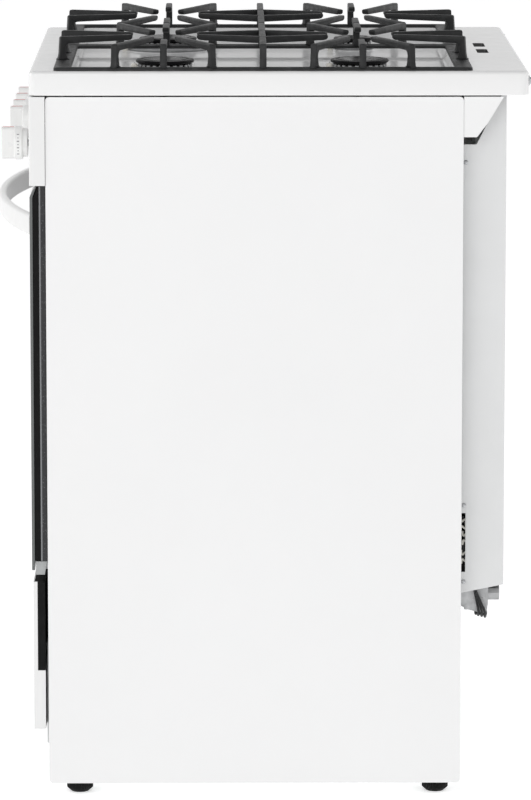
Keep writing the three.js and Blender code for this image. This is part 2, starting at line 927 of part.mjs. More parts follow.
// The lift-out floor over the oven burner, with a heat slot along each side.
function ovenFloor() {
  const half = mouthHalf - 6;
  const low = mouthBottom + gap;
  const top = low + floorThickness;
  const plate = block(-half, half, ovenFront + 12, ovenBack - 12, low, top);
  const slots = [-1, 1].map((side) =>
    block(
      side * (half - 34) - 5,
      side * (half - 34) + 5,
      ovenFront + 60,
      ovenBack - 60,
      low - 1,
      top + 1,
    ),
  );
  return cut(plate, slots);
}

// The open-topped box under the cavity that holds the oven burner, its rear wall cut round the burner's neck.
function burnerBox() {
  const half = mouthHalf - burnerBoxInset;
  const top = mouthBottom - sheet - gap;
  const bottom = top - burnerBoxDepth;
  const front = ovenFront + linerFlange + gap;
  const shell = block(-half, half, front, ovenBack, bottom, top).subtract(
    block(-half + sheet, half - sheet, front + sheet, ovenBack - sheet, bottom + sheet, top + 1),
  );
  return shell.subtract(
    rodY(0, ovenBack - 4, ovenBack + 4, ovenBurnerHeight, burnerTubeRadius + stemClearance, 20),
  );
}

// Mineral wool over the top, sides and back of the cavity.
function ovenInsulation() {
  const front = ovenFront + 2.2;
  const clear = sheet + gap;
  const wrap = block(
    -mouthHalf - clear - insulation,
    mouthHalf + clear + insulation,
    front,
    ovenBack + gap + insulation,
    mouthBottom,
    mouthTop + clear + insulation,
  );
  const hollow = block(
    -mouthHalf - clear,
    mouthHalf + clear,
    front - 1,
    ovenBack + gap,
    mouthBottom - 1,
    mouthTop + clear,
  );
  const flue = block(
    -flueWidth / 2 - 2,
    flueWidth / 2 + 2,
    ovenBack,
    ovenBack + insulation + 2,
    flueTop - flueHeight - 2,
    flueTop + 2,
  );
  return cut(wrap, [hollow, flue]);
}

// The flue: a stub from the oven's back wall, and a riser to the vents in the deck.
function flueDuct() {
  const bottom = flueTop - flueHeight;
  const riserFront = bodyRear + gap + 4;
  const riserBack = riserFront + flueRiserDepth;
  const top = cooktopHeight - 2;
  const duct = (shrink) =>
    join([
      block(
        -flueWidth / 2 + shrink,
        flueWidth / 2 - shrink,
        ovenBack + gap - (shrink ? 1 : 0),
        riserFront + 3,
        bottom + shrink,
        flueTop - shrink,
      ),
      block(
        -flueRiserWidth / 2 + shrink,
        flueRiserWidth / 2 - shrink,
        riserFront + shrink,
        riserBack - shrink,
        bottom + shrink,
        top + (shrink ? 1 : 0),
      ),
    ]);
  return duct(0).subtract(duct(sheet));
}

// The tube burner under the oven floor, open at its rear end, where the gas comes in.
function ovenBurner() {
  const front = ovenFront + 40;
  const back = ovenBack + 28;
  return turnedY([
    [0, front],
    [burnerTubeRadius, front],
    [burnerTubeRadius, back - 3],
    [burnerTubeRadius + 8, back - 3],
    [burnerTubeRadius + 8, back],
    [burnerTubeRadius - 1.5, back],
    [burnerTubeRadius - 1.5, front + 1.5],
    [0, front + 1.5],
  ], 16);
}

// A wire rack: a rim, wires from front to back, and a brace across their middle.
function rack() {
  const half = mouthHalf - rackClearance;
  const front = ovenFront + 14;
  const back = ovenBack - 22;
  const rim = block(-half, half, front, back, gap, gap + rackRim).subtract(
    block(-half + rackRim, half - rackRim, front + rackRim, back - rackRim, -1, rackRim + 2),
  );
  const wires = Array.from({ length: rackWireCount }, (_, i) => {
    const x = -half + ((i + 1) * 2 * half) / (rackWireCount + 1);
    return block(x - rackWire / 2, x + rackWire / 2, front + 1, back - 1, gap + 2, gap + 2 + rackWire);
  });
  const brace = block(-half + 1, half - 1, (front + back) / 2 - 2, (front + back) / 2 + 2, gap, gap + 2.5);
  return join([rim, brace, ...wires]);
}

// The woven seal round the oven mouth.
function doorGasket() {
  const front = doorPlugBack + gap;
  const back = frameSetback - gap;
  return alongY(mouth(5 + gasketWidth), front, back).subtract(alongY(mouth(5), front - 1, back + 1));
}

// ---------------------------------------------------------------- door

const doorFoot = channelTop + gap;

// The outer pane, its top edge leaning back.
function doorPane() {
  const profile = outline([
    [0, doorBottom],
    [doorGlass, doorBottom],
    [doorGlass, doorTop - 3 - doorBevelHeight],
    [doorGlass + doorBevelDepth - 1, doorTop - 3],
    [doorBevelDepth, doorTop - 3],
    [0, doorTop - 3 - doorBevelHeight],
  ]);
  return alongX(profile, -doorHalf, doorHalf);
}

const windowHalf = doorHalf - doorStile - 20;
const windowBottom = doorFoot + doorStile - 20;
const windowTop = doorTop - doorStile;

// The black steel frame behind the pane, its top front edge clear of the pane's bevel.
function doorFrame() {
  const front = doorGlass + gap;
  const profile = outline([
    [front, doorFoot],
    [doorFrameBack, doorFoot],
    [doorFrameBack, doorTop],
    [doorGlass + doorBevelDepth, doorTop],
    [doorGlass + doorBevelDepth, doorTop - 3 - gap],
    [front, doorTop - 4 - doorBevelHeight],
  ]);
  return alongX(profile, -doorHalf, doorHalf).subtract(
    block(-windowHalf, windowHalf, 0, doorFrameBack + 1, windowBottom, windowTop),
  );
}

// The enamelled inner panel: a flat edge, a deeper plug inside it, and a stepped hole for the inner pane.
function doorLiner() {
  const plugInset = doorPlugInset;
  const wall = plugInset + linerSheet;
  const surround = windowMargin + linerSheet;
  const hollow = block(
    -doorHalf + wall,
    doorHalf - wall,
    doorFrameBack,
    doorPlugBack - linerSheet,
    doorFoot + wall,
    doorTop - wall,
  ).subtract(
    block(
      -windowHalf - surround,
      windowHalf + surround,
      doorFrameBack - 1,
      doorPlugBack,
      windowBottom - surround,
      windowTop + surround,
    ),
  );
  return cut(
    join([
      block(-doorHalf, doorHalf, doorFrameBack + gap, doorEdgeDepth, doorFoot, doorTop),
      block(
        -doorHalf + plugInset,
        doorHalf - plugInset,
        doorEdgeDepth - 1,
        doorPlugBack,
        doorFoot + plugInset,
        doorTop - plugInset,
      ),
    ]),
    [
      hollow,
      block(-windowHalf, windowHalf, 0, doorPlugBack + 1, windowBottom, windowTop),
      block(
        -windowHalf - windowMargin,
        windowHalf + windowMargin,
        doorPlugBack - windowThickness - 1,
        doorPlugBack + 1,
        windowBottom - windowMargin,
        windowTop + windowMargin,
      ),
    ],
  );
}

function doorWindow() {
  const grow = windowMargin - 1;
  const back = doorPlugBack - 1 + gap;
  return block(
    -windowHalf - grow,
    windowHalf + grow,
    back - windowThickness + gap,
    back,
    windowBottom - grow,
    windowTop + grow,
  );
}

// The channel along the door's foot, notched for the hinge arms and bored for their pins.
function doorChannel() {
  const profile = outline([
    [doorGlass + gap + 0.5, channelBottom],
    [doorLinerFront + 2.5, channelBottom],
    [doorEdgeDepth - 0.6, channelTop],
    [doorGlass + gap + 1.5, channelTop],
  ]);
  const tools = [-1, 1].flatMap((side) => [
    block(
      side * hingeX - hingeThickness / 2 - 1.5,
      side * hingeX + hingeThickness / 2 + 1.5,
      pivotSetback - hingeEye - 0.6,
      doorEdgeDepth,
      channelBottom - 1,
      channelTop + 1,
    ),
    rodX(side * hingeX - 13, side * hingeX + 13, pivotSetback, pivotHeight, pinRadius + stemClearance),
  ]);
  return cut(alongX(profile, -doorHalf, doorHalf), tools);
}

// The fixed hinge arm: an eye and pin at the pivot, and a hooked tongue through the front frame.
function hingeArm(side) {
  const x0 = side * hingeX - hingeThickness / 2;
  const x1 = side * hingeX + hingeThickness / 2;
  const hook = frameSetback + frameThickness + gap;
  const tongue = outline([
    [pivotSetback, pivotHeight - hingeEye],
    [hook, pivotHeight - hingeEye],
    [hook, pivotHeight - hingeEye - hingeHook],
    [hook + 6, pivotHeight - hingeEye - hingeHook],
    [hook + 12, pivotHeight + hingeEye],
    [pivotSetback, pivotHeight + hingeEye],
  ]);
  return join([
    alongX(tongue, x0, x1),
    rodX(x0, x1, pivotSetback, pivotHeight, hingeEye),
    rodX(side * hingeX - 11, side * hingeX + 11, pivotSetback, pivotHeight, pinRadius),
  ]);
}

// The bowed handle, level, its ends on the pane.
function doorHandle() {
  const top = doorTop - handleDrop + handleHeight / 2;
  const arc = (half, reach) => {
    const r = (half * half + reach * reach) / (2 * reach);
    const angle = Math.asin(half / r);
    return { centre: r - reach, r, angle };
  };
  const out = arc(handleHalfSpan, handleReach);
  const inside = { r: out.r - handleThickness, centre: out.centre };
  const innerAngle = Math.acos(inside.centre / inside.r);
  const shape = new THREE.Shape();
  shape.absarc(0, out.centre, out.r, -Math.PI / 2 - out.angle, -Math.PI / 2 + out.angle, false);
  shape.absarc(0, inside.centre, inside.r, -Math.PI / 2 + innerAngle, -Math.PI / 2 - innerAngle, true);
  const bow = alongZ(shape, top - handleHeight, top, 28);
  return bow.subtract(block(-handleHalfSpan - 5, handleHalfSpan + 5, -gap, 10, top - handleHeight - 1, top + 1));
}

// ---------------------------------------------------------------- drawer

const lipBottom = drawerBottom + drawerLipHeight;

// The white drawer front: a skin with a deep return round its lower part and a shallow one up its sides.
function drawerFront() {
  const front = drawerSetback;
  const back = drawerSetback + drawerFrontDepth;
  const skin = block(-doorHalf, doorHalf, front, front + drawerSkin, drawerBottom, drawerTop);
  const lower = block(-doorHalf, doorHalf, front, back, drawerBottom, lipBottom).subtract(
    block(-doorHalf + 2, doorHalf - 2, front + drawerSkin, back + 1, drawerBottom + 2, lipBottom + 1),
  );
  const edges = [-1, 1].map((side) =>
    block(side * doorHalf, side * (doorHalf - 2), front, front + drawerReturn, lipBottom - 1, drawerTop),
  );
  return join([skin, lower, ...edges]);
}

// The dark backing behind the upper part of the drawer front, stepped round the front's side returns.
function drawerBacking() {
  const front = drawerSetback + drawerSkin + gap;
  const back = drawerSetback + drawerFrontDepth;
  const inner = doorHalf - 2 - gap;
  const outer = doorHalf - 0.5;
  const step = drawerSetback + drawerReturn + gap;
  return join([
    block(-inner, inner, front, back, lipBottom + gap, drawerTop - 0.5),
    block(-outer, outer, step, back, lipBottom + gap, drawerTop - 0.5),
  ]);
}

function drawerBox() {
  const half = bodyHalf - drawerBoxInset;
  const front = drawerSetback + drawerFrontDepth + gap;
  const bottom = baseTop + railHeight + gap;
  const back = bodyRear - drawerRearSpace;
  return block(-half, half, front, back, bottom, bottom + drawerBoxHeight).subtract(
    block(-half + sheet, half - sheet, front + sheet, back - sheet, bottom + sheet, drawerTop),
  );
}

// ---------------------------------------------------------------- the assembly

for (const [side, name] of [
  [-1, "left"],
  [1, "right"],
]) {
  place(`side_panel_${name}`, sidePanel(side), white);
  place(`burner_bracket_${name}`, burnerBracket(side), aluminium);
  place(`grate_${name}`, grate(side), castIron);
  place(`hinge_arm_${name}`, hingeArm(side), galvanised);
}
place("base_pan", basePan(), galvanised);
place("back_panel", backPanel(), galvanised);
place("rear_cover", rearCover(), galvanised);
place("rear_brace", rearBrace(), white);
place("front_frame", frontFrame(), blackSteel);
place("oven_liner", ovenLiner(), blackEnamel);
place("oven_floor", ovenFloor(), blackEnamel);
place("oven_insulation", ovenInsulation(), wool);
place("flue_duct", flueDuct(), galvanised);
place("oven_burner", ovenBurner(), galvanised, [0, 0, ovenBurnerHeight]);
place("burner_box", burnerBox(), galvanised);
place("cooktop", cooktop(), white);
place("control_panel", fascia(), white);
place("gas_manifold", gasManifold(), aluminium);
place("gas_regulator", regulator(), aluminium);
place("gas_line", gasLine(), galvanised);
place("wiring_harness", wiringHarness(), blackWire);
place("door_gasket", doorGasket(), rope);
place("door_glass", doorPane(), blackGlass);
place("door_frame", doorFrame(), blackSteel);
place("door_liner", doorLiner(), blackEnamel);
place("door_window", doorWindow(), clearGlass);
place("door_channel", doorChannel(), galvanised);
place("door_handle", doorHandle(), whitePlastic);
place("drawer_front", drawerFront(), white);
place("drawer_backing", drawerBacking(), blackSteel);
place("drawer_box", drawerBox(), galvanised);
rackLevels.forEach((level, i) =>
  place(`oven_rack_${["lower", "upper"][i]}`, rack(), chrome, [0, 0, ledgeZ(level)]),
);
for (const b of burners) {
  place(`burner_head_${b.name}`, burnerHead(b), aluminium, [b.x, b.y, wellFloor]);
  place(`burner_cap_${b.name}`, burnerCap(b), blackEnamel, [b.x, b.y, wellFloor]);
}
for (const k of knobs) {
  place(`knob_${k.name}`, knob(), whitePlastic, [k.x, 0, knobHeight]);
  place(`valve_stem_${k.name}`, stem(), brass, [k.x, 0, knobHeight]);
}
for (const f of feet) {
  place(f.name, foot(), blackRubber, [f.x, f.y, 0]);
}

export default range;
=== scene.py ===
# The look of a freestanding gas range: enamelled casing, cast grates, sealed burners, glass door, drawer and
# gas line. Lengths are in millimetres until lay() turns them into metres in the frame's own axes.
import math

import bmesh
import bpy
import numpy as np
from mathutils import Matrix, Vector


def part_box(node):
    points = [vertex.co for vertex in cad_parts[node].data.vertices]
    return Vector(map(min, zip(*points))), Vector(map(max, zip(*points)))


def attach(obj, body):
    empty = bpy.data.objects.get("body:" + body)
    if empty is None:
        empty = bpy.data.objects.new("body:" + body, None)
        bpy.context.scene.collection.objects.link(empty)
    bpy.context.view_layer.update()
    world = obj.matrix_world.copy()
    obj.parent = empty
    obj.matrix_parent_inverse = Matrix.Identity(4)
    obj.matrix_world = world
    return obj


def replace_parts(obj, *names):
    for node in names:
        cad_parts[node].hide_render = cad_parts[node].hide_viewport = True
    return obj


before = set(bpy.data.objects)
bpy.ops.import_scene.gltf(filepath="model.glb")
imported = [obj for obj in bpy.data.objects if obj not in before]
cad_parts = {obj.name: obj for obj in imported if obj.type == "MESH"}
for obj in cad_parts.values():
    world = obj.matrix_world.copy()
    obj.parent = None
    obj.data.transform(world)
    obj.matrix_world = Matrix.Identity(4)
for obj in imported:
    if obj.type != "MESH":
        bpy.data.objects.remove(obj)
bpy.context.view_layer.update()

MM = 0.001
BODY = "range_body"
DOOR = "oven_door"
BURNERS = ("right_front", "right_rear", "left_front", "left_rear")
KNOBS = ("left_front", "left_rear", "right_rear", "right_front", "oven")
FEET = ("front_left", "rear_left", "front_right", "rear_right")
COLLAR = 17.8  # radius of a knob's collar, next to the fascia
LINER_DEPTH = 13.1  # how far behind the front plane the pale lip of the door's inner panel ends


def span(node):
    """A CAD node's lowest and highest corners, in millimetres."""
    low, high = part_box(node)
    return np.array(low) / MM, np.array(high) / MM


FRONT = span("control_panel")[0][1]
DECK_TOP = span("cooktop")[1][2]
VENT_Y = span("flue_duct")[1][1] - 16.3


# ---------------------------------------------------------------- finishes


class Finish:
    """A principled surface: colour, roughness and bump are built up from patterns in object coordinates."""

    def __init__(self, name, colour, rough, metal=0.0):
        self.material = bpy.data.materials.new(name)
        self.material.use_nodes = True
        self.tree = self.material.node_tree
        self.shader = self.tree.nodes["Principled BSDF"]
        self.place = self.tree.nodes.new("ShaderNodeTexCoord").outputs["Object"]
        self.colour = tuple(colour) + (1.0,)
        self.shader.inputs["Base Color"].default_value = self.colour
        self.shader.inputs["Roughness"].default_value = rough
        self.shader.inputs["Metallic"].default_value = metal
        self.rough = rough
        self.normal = None
        self.material.diffuse_color = self.colour

    def add(self, kind, **settings):
        """A new shader node with its settings."""
        node = self.tree.nodes.new(kind)
        for key, value in settings.items():
            setattr(node, key, value)
        return node

    def link(self, a, b):
        """Joins one socket to another."""
        self.tree.links.new(a, b)

    def stretched(self, scale):
        """Object coordinates scaled unevenly, for patterns with a direction."""
        mapping = self.add("ShaderNodeMapping")
        mapping.inputs["Scale"].default_value = scale
        self.link(self.place, mapping.inputs["Vector"])
        return mapping.outputs["Vector"]

    def noise(self, per_metre, detail=3.0, place=None):
        """Cloudy noise between 0 and 1."""
        node = self.add("ShaderNodeTexNoise")
        node.inputs["Scale"].default_value = per_metre
        node.inputs["Detail"].default_value = detail
        self.link(place or self.place, node.inputs["Vector"])
        return node.outputs["Fac"]

    def cells(self, per_metre, output="Color"):
        """Voronoi cells: a flat colour for each, or the distance to its centre."""
        node = self.add("ShaderNodeTexVoronoi")
        node.inputs["Scale"].default_value = per_metre
        self.link(self.place, node.inputs["Vector"])
        return node.outputs[output]

    def ranged(self, value, low, high, out_low, out_high):
        """A straight ramp from low..high to out_low..out_high, held level past its ends."""
        node = self.add("ShaderNodeMapRange")
        ends = {"From Min": low, "From Max": high, "To Min": out_low, "To Max": out_high}
        for key, number in ends.items():
            node.inputs[key].default_value = number
        self.link(value, node.inputs["Value"])
        return node.outputs["Result"]

    def tint(self, factor, other):
        """Mixes the colour so far towards another where factor is 1."""
        mix = self.add("ShaderNodeMix", data_type="RGBA")
        self.link(factor, mix.inputs["Factor"])
        socket = self.shader.inputs["Base Color"]
        if socket.is_linked:
            self.link(socket.links[0].from_socket, mix.inputs["A"])
        else:
            mix.inputs["A"].default_value = self.colour
        mix.inputs["B"].default_value = tuple(other) + (1.0,)
        self.link(mix.outputs["Result"], socket)
        return self

    def mottle(self, per_metre, amount, detail=4.0):
        """Slow drift of the colour, darker by up to amount."""
        drift = self.ranged(self.noise(per_metre, detail), 0.3, 0.7, 0.0, 1.0)
        return self.tint(drift, [c * (1.0 - amount) for c in self.colour[:3]])

    def rub(self, per_metre, spread, detail=3.0):
        """Roughness that wanders by spread either way."""
        drift = self.noise(per_metre, detail)
        value = self.ranged(drift, 0.3, 0.7, self.rough - spread, self.rough + spread)
        self.link(value, self.shader.inputs["Roughness"])
        return self

    def bump(self, height, depth, strength=1.0):
        """Raises the surface by height times depth, in metres, on top of any earlier bump."""
        node = self.add("ShaderNodeBump")
        node.inputs["Strength"].default_value = strength
        node.inputs["Distance"].default_value = depth
        self.link(height, node.inputs["Height"])
        if self.normal is not None:
            self.link(self.normal, node.inputs["Normal"])
        self.normal = node.outputs["Normal"]
        self.link(self.normal, self.shader.inputs["Normal"])
        return self

    def grain(self, per_metre, depth, strength=0.5, detail=3.0):
        """Bump from cloudy noise."""
        return self.bump(self.noise(per_metre, detail), depth, strength)

    def flecks(self, per_metre, size, colour):
        """Round specks: cells whose centre is nearer than size."""
        near = self.ranged(self.cells(per_metre, "Distance"), size, size * 0.6, 0.0, 1.0)
        return self.tint(near, colour)

    def lacquer(self, weight, rough):
        """A clear coat over the finish."""
        self.shader.inputs["Coat Weight"].default_value = weight
        self.shader.inputs["Coat Roughness"].default_value = rough
        return self

    def axis(self, name):
        """One of the object coordinates, in metres."""
        node = self.add("ShaderNodeSeparateXYZ")
        self.link(self.place, node.inputs["Vector"])
        return node.outputs[name]

    def boxed(self, low, high, soft):
        """1 inside a box given in millimetres, falling to 0 over soft millimetres outside it."""
        inside_all = None
        for name, a, b in zip("XYZ", low, high):
            off = self.maths("ABSOLUTE", self.maths("SUBTRACT", self.axis(name), (a + b) / 2 * MM))
            one = self.ranged(off, (b - a) / 2 * MM, ((b - a) / 2 + soft) * MM, 1.0, 0.0)
            inside_all = one if inside_all is None else self.maths("MULTIPLY", inside_all, one)
        return inside_all

    def dull(self, level):
        """Weakens the mirror-like part of the reflection."""
        self.shader.inputs["Specular IOR Level"].default_value = level
        return self

    def maths(self, operation, a, b=0.0):
        """One step of arithmetic on sockets or numbers."""
        node = self.add("ShaderNodeMath", operation=operation)
        for socket, value in zip(node.inputs, (a, b)):
            if isinstance(value, (int, float)):
                socket.default_value = value
            else:
                self.link(value, socket)
        return node.outputs["Value"]


def white_enamel():
    """Vitreous enamel: near white, glossy, with the faint orange peel of a fired coat."""
    made = Finish("white_enamel", (0.84, 0.84, 0.835), 0.2)
    made.mottle(9, 0.025).rub(35, 0.05).grain(260, 0.0002, 0.10).grain(1500, 0.00005, 0.10)
    return made.lacquer(0.3, 0.08)


def deck_enamel():
    """The cooktop's enamel, with painted shade: a little greyer over the sunken well, and black inside the
    two vent slots.
    """
    made = Finish("deck_enamel", (0.86, 0.86, 0.856), 0.2)
    # Painted shade: the sunken well is tinted greyer than the deck around it.
    well = made.boxed((-287, FRONT + 44, 880), (287, FRONT + 532, DECK_TOP - 4), 3.5)
    made.tint(well, (0.80, 0.805, 0.805)).mottle(11, 0.01)
    # Painted shade: the vent slots' floors are tinted black where the deep slots would lie in shadow.
    vents = made.boxed((-69, VENT_Y - 8, 890), (69, VENT_Y + 8, DECK_TOP - 0.5), 0.2)
    made.tint(vents, (0.01, 0.01, 0.01))
    return made.rub(40, 0.02).grain(260, 0.0001, 0.05).grain(1400, 0.00004, 0.06).lacquer(0.25, 0.1)


def panel_paint():
    """Baked paint on sheet steel: white, satin, finely textured."""
    made = Finish("panel_paint", (0.88, 0.88, 0.878), 0.38)
    return made.mottle(5, 0.015).rub(20, 0.05).grain(700, 0.00012, 0.22).grain(2400, 0.00005, 0.2)


def white_moulding():
    """The knobs' white plastic, softened by a little light passing under its skin."""
    made = Finish("white_moulding", (0.86, 0.86, 0.85), 0.3)
    made.mottle(40, 0.02).rub(90, 0.04).grain(1800, 0.00004, 0.25)
    made.shader.inputs["Subsurface Weight"].default_value = 0.05
    made.shader.inputs["Subsurface Radius"].default_value = (0.002, 0.002, 0.002)
    return made


def glowing_handle_moulding():
    """The same white plastic, darker in its base colour but given a faint glow of its own: painted light
    that brightens the handle's shaded inner face.
    """
    made = Finish("glowing_handle_moulding", (0.50, 0.50, 0.495), 0.4)
    made.mottle(30, 0.02).rub(90, 0.04).grain(1800, 0.00004, 0.2)
    # Painted light: a weak white glow of the handle's own, not from any lamp.
    made.shader.inputs["Emission Color"].default_value = (1, 1, 1, 1)
    made.shader.inputs["Emission Strength"].default_value = 0.3
    return made


def galvanised():
    """Zinc on steel: pale, half metallic, with broad soft spangle."""
    made = Finish("galvanised", (0.74, 0.755, 0.75), 0.42, 0.55)
    spangle = made.ranged(made.cells(55), 0.0, 1.0, 0.0, 0.35)
    made.tint(spangle, (0.62, 0.635, 0.635))
    return made.rub(60, 0.08).grain(180, 0.00008, 0.15)


def channel_zinc():
    """The door's bottom channel: raw zinc, darker than the casing."""
    made = Finish("channel_zinc", (0.42, 0.43, 0.43), 0.4, 0.8)
    return made.mottle(90, 0.2).rub(80, 0.08).grain(200, 0.00008, 0.15)


def cover_paint():
    """The rear cover's coated zinc, with faint vertical rolling marks and a thin dark line near its front
    edge: painted shade for the shadow in the gap beside the side panel.
    """
    made = Finish("cover_paint", (0.76, 0.765, 0.765), 0.4, 0.15)
    made.mottle(12, 0.05)
    gap_shadow_edge = span("rear_cover")[0][1] * MM
    # Painted shade: a thin dark band just behind the cover's front edge stands for the gap's shadow.
    made.tint(made.ranged(made.axis("Y"), gap_shadow_edge + 0.0009, gap_shadow_edge + 0.0016, 1.0, 0.0), (0.10, 0.10, 0.10))
    streaks = made.noise(90, 2.0, made.stretched((6.0, 6.0, 0.35)))
    return made.bump(streaks, 0.00008, 0.2).rub(40, 0.06)


def cast_iron():
    """Matt black enamel on sand-cast iron: pitted, with slightly browner high spots."""
    made = Finish("cast_iron_enamel", (0.014, 0.0145, 0.015), 0.46)
    worn = made.ranged(made.noise(70, 5.0), 0.5, 0.72, 0.0, 1.0)
    made.tint(worn, (0.028, 0.0285, 0.029)).rub(120, 0.08).dull(0.35)
    return made.grain(650, 0.0003, 0.3, 4.0).grain(2600, 0.0001, 0.35)


def burner_casting():
    """Fettled aluminium with a sanded face and darker heat-stained patches."""
    made = Finish("burner_casting", (0.50, 0.505, 0.51), 0.36, 0.9)
    made.mottle(90, 0.25).rub(150, 0.1)
    return made.grain(1500, 0.00012, 0.4)


def cap_enamel():
    """The burner caps' deep black enamel."""
    made = Finish("cap_enamel", (0.006, 0.006, 0.007), 0.3)
    made.mottle(120, 0.3).rub(90, 0.06).grain(420, 0.0002, 0.15)
    return made.dull(0.08).lacquer(0.04, 0.12)


def oven_enamel():
    """Charcoal enamel with pale specks."""
    made = Finish("oven_enamel", (0.022, 0.023, 0.027), 0.24)
    made.mottle(30, 0.3).flecks(420, 0.22, (0.35, 0.36, 0.38)).rub(60, 0.06).grain(300, 0.0002, 0.2)
    return made.lacquer(0.3, 0.1)


def liner_enamel():
    """The door's inner panel: a pale steel lip next to the frame, then charcoal enamel with specks."""
    made = Finish("liner_enamel", (0.035, 0.036, 0.038), 0.3)
    made.mottle(30, 0.2).flecks(420, 0.2, (0.2, 0.2, 0.21))
    made.dull(0.3)
    lip = made.ranged(made.axis("Y"), (FRONT + LINER_DEPTH) * MM, (FRONT + LINER_DEPTH + 0.3) * MM, 1.0, 0.0)
    return made.tint(lip, (0.22, 0.225, 0.23)).rub(60, 0.08).grain(400, 0.00015, 0.2)


def black_paint():
    """Flat black paint on the oven's frame and the door's."""
    made = Finish("black_paint", (0.006, 0.006, 0.006), 0.5)
    made.dull(0.12)
    return made.mottle(60, 0.3).rub(80, 0.08).grain(1100, 0.0001, 0.35)


def black_moulding():
    """Black rubber and plastic, with a moulded grain."""
    made = Finish("black_moulding", (0.006, 0.006, 0.006), 0.6)
    made.dull(0.15)
    return made.mottle(90, 0.3).rub(120, 0.08).grain(900, 0.00025, 0.5)


def door_glass_finish():
    """Black-printed glass with a clear window whose edge breaks up into printed dots."""
    made = Finish("printed_glass", (0.008, 0.008, 0.009), 0.05)
    made.mottle(6, 0.2)
    rim = span("door_glass")[1][0]
    out = made.maths("ABSOLUTE", made.axis("X"))
    made.tint(made.ranged(out, (rim - 0.7) * MM, (rim - 0.3) * MM, 0.0, 1.0), (0.12, 0.128, 0.126))
    low, high = span("door_window")
    half, mid = (high[0] - 30) * MM, (low[2] + high[2]) / 2 * MM
    tall = (high[2] - low[2]) / 2 * MM - 0.03
    across = made.maths("SUBTRACT", made.maths("ABSOLUTE", made.axis("X")), half)
    height = made.maths("ABSOLUTE", made.maths("SUBTRACT", made.axis("Z"), mid))
    up = made.maths("SUBTRACT", height, tall)
    edge = made.maths("MAXIMUM", across, up)
    dot = made.ranged(made.cells(330, "Distance"), 0.0, 0.6, 0.0, 0.014)
    cover = made.ranged(made.maths("SUBTRACT", edge, dot), -0.0135, -0.0125, 0.42, 1.0)
    made.link(cover, made.shader.inputs["Alpha"])
    made.shader.inputs["Specular IOR Level"].default_value = 0.6
    return made


def inner_pane():
    """The door's grey inner glass."""
    made = Finish("inner_pane", (0.06, 0.065, 0.065), 0.04)
    made.mottle(8, 0.1)
    made.shader.inputs["Alpha"].default_value = 0.35
    return made


def mineral_wool():
    """Ochre fibre, its strands drawn out along x."""
    made = Finish("mineral_wool", (0.55, 0.47, 0.24), 0.95)
    fibre = made.noise(700, 6.0, made.stretched((1.0, 4.0, 4.0)))
    return made.mottle(45, 0.4).bump(fibre, 0.003, 0.8)


def woven_seal():
    """Glass-fibre braid: crossing diagonal ribs."""
    made = Finish("woven_seal", (0.10, 0.095, 0.085), 0.9)
    for turn in (0.8, -0.8):
        wave = made.add("ShaderNodeTexWave", wave_type="BANDS")
        wave.inputs["Scale"].default_value = 90
        mapping = made.add("ShaderNodeMapping")
        mapping.inputs["Rotation"].default_value = (0.0, turn, 0.0)
        made.link(made.place, mapping.inputs["Vector"])
        made.link(mapping.outputs["Vector"], wave.inputs["Vector"])
        made.bump(wave.outputs["Fac"], 0.0008, 0.6)
    return made.mottle(200, 0.3)


def chrome_wire():
    """Bright plated rack wire."""
    made = Finish("chrome_wire", (0.68, 0.69, 0.70), 0.16, 1.0)
    return made.mottle(60, 0.1).rub(90, 0.05)


def zinc_screw():
    """Plated screws, valve stems, hinge arms and electrode tips."""
    made = Finish("zinc_screw", (0.60, 0.61, 0.62), 0.28, 1.0)
    return made.mottle(300, 0.2).rub(400, 0.08).grain(1500, 0.00004, 0.3)


def wire_sleeve():
    """Black sleeving."""
    made = Finish("wire_sleeve", (0.012, 0.012, 0.013), 0.45)
    return made.mottle(150, 0.2).grain(800, 0.0001, 0.3)


def ceramic():
    """Off-white, for the electrode sleeves and the pale leads."""
    made = Finish("ceramic", (0.78, 0.76, 0.70), 0.35)
    return made.mottle(200, 0.08).grain(1200, 0.00005, 0.3)


def red_mark():
    """Red printing."""
    made = Finish("red_mark", (0.62, 0.035, 0.03), 0.4)
    return made.mottle(300, 0.1)


def grey_mark():
    """Grey printing."""
    made = Finish("grey_mark", (0.30, 0.30, 0.31), 0.45)
    return made.mottle(300, 0.1)


FINISH = {
    f.__name__: f().material
    for f in (
        white_enamel,
        deck_enamel,
        panel_paint,
        white_moulding,
        glowing_handle_moulding,
        galvanised,
        channel_zinc,
        cover_paint,
        cast_iron,
        burner_casting,
        cap_enamel,
        oven_enamel,
        liner_enamel,
        black_paint,
        black_moulding,
        door_glass_finish,
        inner_pane,
        mineral_wool,
        woven_seal,
        chrome_wire,
        zinc_screw,
        wire_sleeve,
        ceramic,
        red_mark,
        grey_mark,
    )
}


# ---------------------------------------------------------------- shapes

AXES = {"x": (1, 2, 0), "y": (2, 0, 1), "z": (0, 1, 2)}


def shell(rings, ends=True, closed=False):
    """Quads over rings[i, j], closed round j. The end rings are filled, or joined where closed is set."""
    m, n = rings.shape[:2]
    i = np.arange(m if closed else m - 1)[:, None]
    j = np.arange(n)[None]
    after, beside = (i + 1) % m, (j + 1) % n
    faces = [np.stack([i * n + j, i * n + beside, after * n + beside, after * n + j], -1).reshape(-1, 4)]
    if ends and not closed:
        faces += [np.arange(n)[None, ::-1], (m - 1) * n + np.arange(n)[None]]
    return rings.reshape(-1, 3), faces


def rounded_plan(w, h, r, k=6):
    """Points round a rectangle of half sizes w and h whose corners are quarter circles of radius r."""
    t = np.arange(4)[:, None] * np.pi / 2 + np.linspace(0, np.pi / 2, k + 1)
    across = np.array([1, -1, -1, 1])[:, None] * (w - r) + r * np.cos(t)
    up = np.array([1, 1, -1, -1])[:, None] * (h - r) + r * np.sin(t)
    return np.stack([across, up], -1).reshape(-1, 2)


